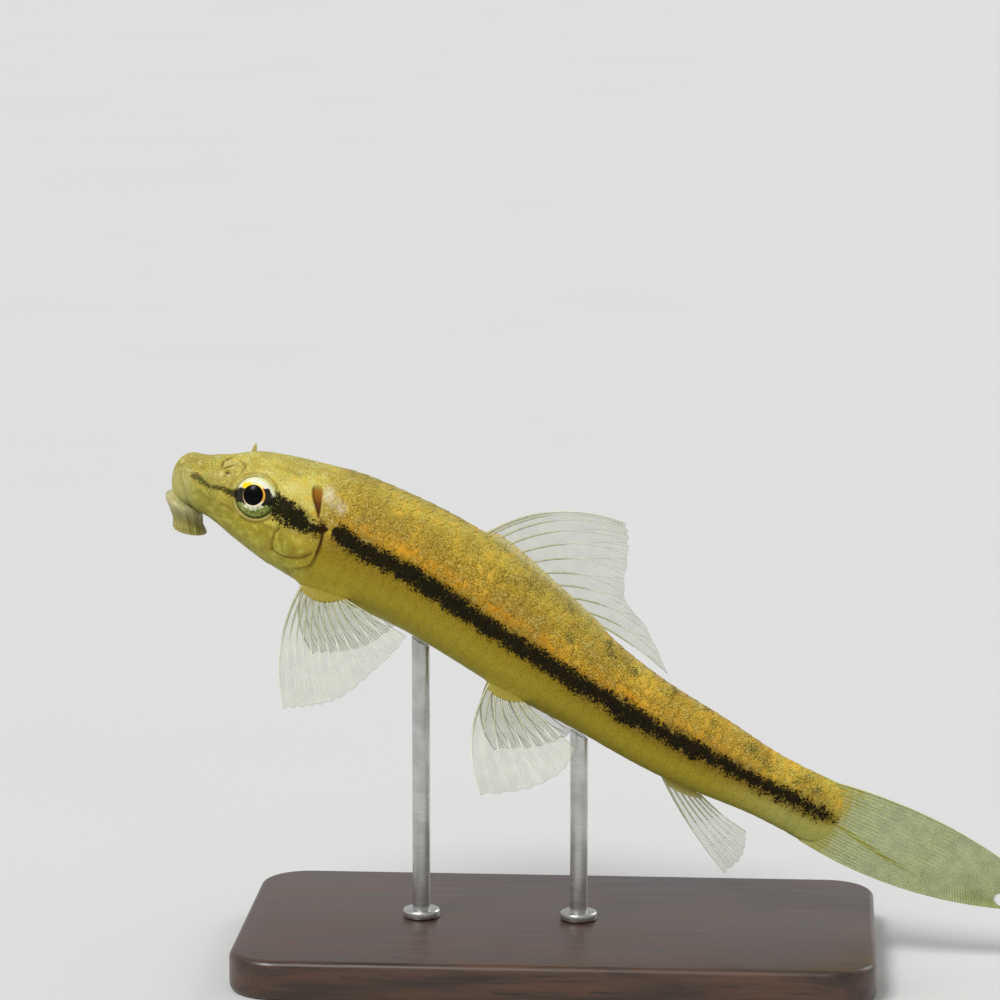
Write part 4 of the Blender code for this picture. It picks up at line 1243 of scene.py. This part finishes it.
def steel_finish():
    """Brushed steel, its scratches round the rod."""
    m = Finish("brushed_steel", Metallic=1.0)
    scratch = m.noise(0.5, 4, 0.7, stretch=(0.15, 0.15, 9))
    smudge = m.noise(3.0, 3, 0.5, seed=6)
    m.colour = m.mix(smudge.ranged(0.35, 0.65), (186, 186, 182), (208, 208, 205))
    return m.give(Base_Color=m.colour, Roughness=scratch.ranged(0.3, 0.7, 0.22, 0.42),
                  Normal=m.bump(scratch, 0.006, 0.5))


# Stand


def stand_pieces():
    """The base with a routed edge, and steel rods standing in small collars."""
    wood, steel = wood_finish(), steel_finish()
    low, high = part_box("stand_base")
    size = high - low
    middle = (low + high) / 2
    base = primitive(bpy.ops.mesh.primitive_cube_add, "display_base", size, size=1, location=middle)
    upright = base.data.attributes.new("bevel_weight_edge", "FLOAT", "EDGE")
    for edge in base.data.edges:
        a, b = (base.data.vertices[i].co for i in edge.vertices)
        upright.data[edge.index].value = float(abs(a.z - b.z) > size.z / 2)
    for width, segments, method in ((CORNER_ROUNDING, 14, "WEIGHT"), (EDGE_ROUNDING, 5, "ANGLE")):
        apply_modifier(base, "BEVEL", width=width * MM, segments=segments, limit_method=method,
                       angle_limit=math.radians(50))
    shade_edges(base)
    finish_piece(base, wood, "stand_base", "stand_base")
    for name in ("stand_rod_front", "stand_rod_rear"):
        low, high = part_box(name)
        centre, radius = (low + high) / 2, (high.x - low.x) / 2
        rod = primitive(
            bpy.ops.mesh.primitive_cylinder_add, name.replace("stand_rod", "steel_rod"), vertices=48,
            radius=radius, depth=high.z - low.z, location=centre, end_fill_type="NGON"
        )
        height, slope = top_slope(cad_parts[name], centre.x)
        for vert in rod.data.vertices:
            if vert.co.z > centre.z:
                vert.co.z = height + slope * (vert.co.x - centre.x)
        shade_edges(rod)
        finish_piece(rod, steel, "stand_rod", name)
        finish_piece(rod_collar(name.replace("stand_rod", "rod_collar"), centre, radius), steel, "stand_rod")


def top_slope(node, x):
    """Height of a rod's sloping top at its middle, and its slope, read from the solid."""
    tops = [vert.co for vert in node.data.vertices]
    middle = (max(v.z for v in tops) + min(v.z for v in tops)) / 2
    tops = [v for v in tops if v.z > middle]
    front, rear = min(tops, key=lambda v: v.x), max(tops, key=lambda v: v.x)
    slope = (rear.z - front.z) / (rear.x - front.x)
    return front.z + slope * (x - front.x), slope


def rod_collar(name, centre, radius):
    """A turned collar round the foot of a rod."""
    base_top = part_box("stand_base")[1].z
    collar = primitive(
        bpy.ops.mesh.primitive_cylinder_add, name, vertices=64, radius=radius * COLLAR_WIDTH,
        depth=COLLAR_HEIGHT * MM, location=(centre.x, centre.y, base_top + COLLAR_MIDDLE * MM)
    )
    apply_modifier(collar, "BEVEL", width=COLLAR_ROUNDING * MM, segments=4, limit_method="ANGLE")
    shade_edges(collar)
    return collar


# Stage


def studio():
    """A pale floor, soft lights and the camera, at the photograph's viewing angle."""
    floor = primitive(bpy.ops.mesh.primitive_plane_add, "floor", size=40)
    paint = Finish("pale_floor", Roughness=0.8, Specular_IOR_Level=0.2)
    paint.give(Base_Color=paint.mix(paint.noise(60, 2), (203.42, 203.42, 201.9), (206.41, 206.41, 204.93)))
    floor.data.materials.append(paint.material)
    scene = bpy.context.scene
    scene.world = bpy.data.worlds.new("soft_room")
    scene.world.use_nodes = True
    background = scene.world.node_tree.nodes["Background"]
    background.inputs["Color"].default_value = (0.97, 0.985, 1.0, 1)
    background.inputs["Strength"].default_value = 0.55
    for name, towards, softness, strength in (
        ("key", (-0.45, -0.62, 0.95), 22, 2.3),
        ("back", (0.6, 0.7, 0.5), 30, 0.7),
    ):
        light = bpy.data.lights.new(name, "SUN")
        light.angle = math.radians(softness)
        light.energy = strength
        lamp = bpy.data.objects.new(name, light)
        lamp.rotation_euler = (-Vector(towards)).to_track_quat("-Z", "Y").to_euler()
        scene.collection.objects.link(lamp)
    azimuth, elevation = math.radians(CAMERA_AZIMUTH), math.radians(CAMERA_ELEVATION)
    level = math.cos(elevation)
    ahead = Vector((-math.sin(azimuth) * level, math.cos(azimuth) * level, -math.sin(elevation)))
    lens = bpy.data.cameras.new("camera")
    lens.angle = 2 * math.atan(HALF_VIEW / CAMERA_DISTANCE)
    lens.clip_start = 0.01
    camera = bpy.data.objects.new("camera", lens)
    camera.location = Vector(CAMERA_TARGET) * MM - CAMERA_DISTANCE * ahead
    camera.rotation_euler = ahead.to_track_quat("-Z", "Y").to_euler()
    scene.collection.objects.link(camera)
    scene.camera = camera
    scene.view_settings.view_transform = "Standard"


# The whole model


def dress_fish(skin):
    finish_piece(fish_skin(), skin, "skin", "head", "torso", "tail", "gill_cover_left", "gill_cover_right")
    finish_piece(scale_coat(), skin, "skin")
    finish_piece(nasal_flap("nasal_flap_left", FLAP_PLACE, 0.12, 1.6, 1.05), skin, "skin")
    finish_piece(nasal_flap("nasal_flap_right", RAISED_FLAP_PLACE, 0.96, 1.35, 0.62), skin, "skin")
    finish_piece(sucker_mouth(), lip_finish(), "lips", "mouth_disc")
    eye = eye_finish()
    for side_name, side in (("left", 1), ("right", -1)):
        finish_piece(eyeball(f"eyeball_{side_name}", side), eye, "eye", f"eye_{side_name}")


def dress_fin(node, point, place_at, rays, sink, sleeve, skin, clear, pale):
    """One fin: its membrane, its rays and the skin over its root, which place_at finds on the body."""
    finish_piece(fin_membrane(node.replace("_fin", "_membrane"), point, rays, sink=sink), clear, "fin", node)
    lines = ray_strands(point, rays, sink, radius=0.11, splits=(0.42, 0.7), spread=0.2)
    finish_piece(fin_rays(node.replace("_fin", "_rays"), lines), pale, "fin")
    root = fleshy_root(node.replace("_fin", "_root"), point, place_at, rays, -sink, *sleeve)
    finish_piece(root, skin, "skin")


def dress_middle_fins(*finishes):
    def dorsal_at(u):
        return 30.5 + 14.6 * u**1.65, 0.0

    def anal_at(u):
        return 58.7 + 4.1 * u, 180.0

    dorsal = fin_on_middle(
        dorsal_at,
        ((0, 14.0), (0.2, 13.2), (0.4, 11.3), (0.6, 8.5), (0.7, 7.6), (0.8, 8.2), (1, 8.1)),
        ((0, 4), (0.3, 4), (0.4, 3), (0.5, -2), (0.6, -9), (0.8, -21), (1, -36.5)),
        curve_through(((0, 0.12), (0.2, 0.118), (0.4, 0.07), (0.8, 0.062), (1, 0.03))),
        0.25,
    )
    dress_fin("dorsal_fin", dorsal, dorsal_at, 11, 0.07, (0.05, 0.14, 0.8), *finishes)
    anal = fin_on_middle(
        anal_at, ((0, 11.4), (0.4, 9.6), (1, 5.6)), ((0, -57), (1, -38)), lambda u: 0.03 + 0 * u, 0.15
    )
    dress_fin("anal_fin", anal, anal_at, 7, 0.09, (0.09, 0.16, 0.5), *finishes)


def dress_paired_fins(*finishes):
    # Root, lengths, sweeps back and leans out over the fin, arch, rays, sink and fleshy root
    pectoral = (
        PECTORAL_ROOT,
        ((0, 14.4), (0.45, 12.9), (0.75, 10.2), (1, 8.2)),
        ((0, -3), (0.45, 11), (0.75, 30), (1, 55)),
        ((0, 40), (1, 46)),
        0.09, 13, 0.06, (0.1, 0.36, 0.05),
    )
    pelvic = (
        PELVIC_ROOT,
        ((0, 12.2), (0.65, 10.3), (1, 8.0)),
        ((0, -1), (0.65, 31), (1, 46)),
        ((0, 34), (1, 40)),
        0.11, 9, 0.07, (0.09, 0.3, 0.1),
    )
    for side_name, side in (("left", 1), ("right", -1)):
        for kind, (ends, lengths, sweeps, outs, bend, *root) in (("pectoral", pectoral), ("pelvic", pelvic)):
            (s0, t0), (s1, t1) = ends

            def place_at(u, s0=s0, t0=t0, s1=s1, t1=t1):
                return s0 + (s1 - s0) * u, t0 + (t1 - t0) * u

            point = paired_fin(side, place_at, lengths, sweeps, outs, bend)
            dress_fin(f"{kind}_fin_{side_name}", point, place_at, *root, *finishes)


def dress_fins(skin):
    clear = membrane_finish("fin_membrane", (152, 156, 124), 0.19)
    tail_clear = membrane_finish("tail_membrane", (126, 140, 66), 0.52, streak=True)
    pale = ray_finish("fin_rays", (182, 182, 150), (246, 247, 236), 0.3, (190, 186, 142))
    tail_pale = ray_finish("tail_rays", (182, 188, 120), (220, 220, 180), 0.55, (170, 160, 76))
    dress_middle_fins(skin, clear, pale)
    dress_paired_fins(skin, clear, pale)
    point, sink = tail_fin(), 0.1
    membrane = fin_membrane(
        "caudal_membrane", point, TAIL_RAYS, columns_per_gap=4, rows=60, sink=sink,
        thickness=0.03, billow=0.015
    )
    finish_piece(membrane, tail_clear, "fin", "caudal_fin")
    lines = ray_strands(point, TAIL_RAYS, sink, radius=0.08, splits=(0.24, 0.55), spread=0.22)
    finish_piece(fin_rays("caudal_rays", lines + leading_rays()), tail_pale, "fin")


fish_finish = fish_skin_finish()
dress_fish(fish_finish)
dress_fins(fish_finish)
stand_pieces()
studio()
deselect()
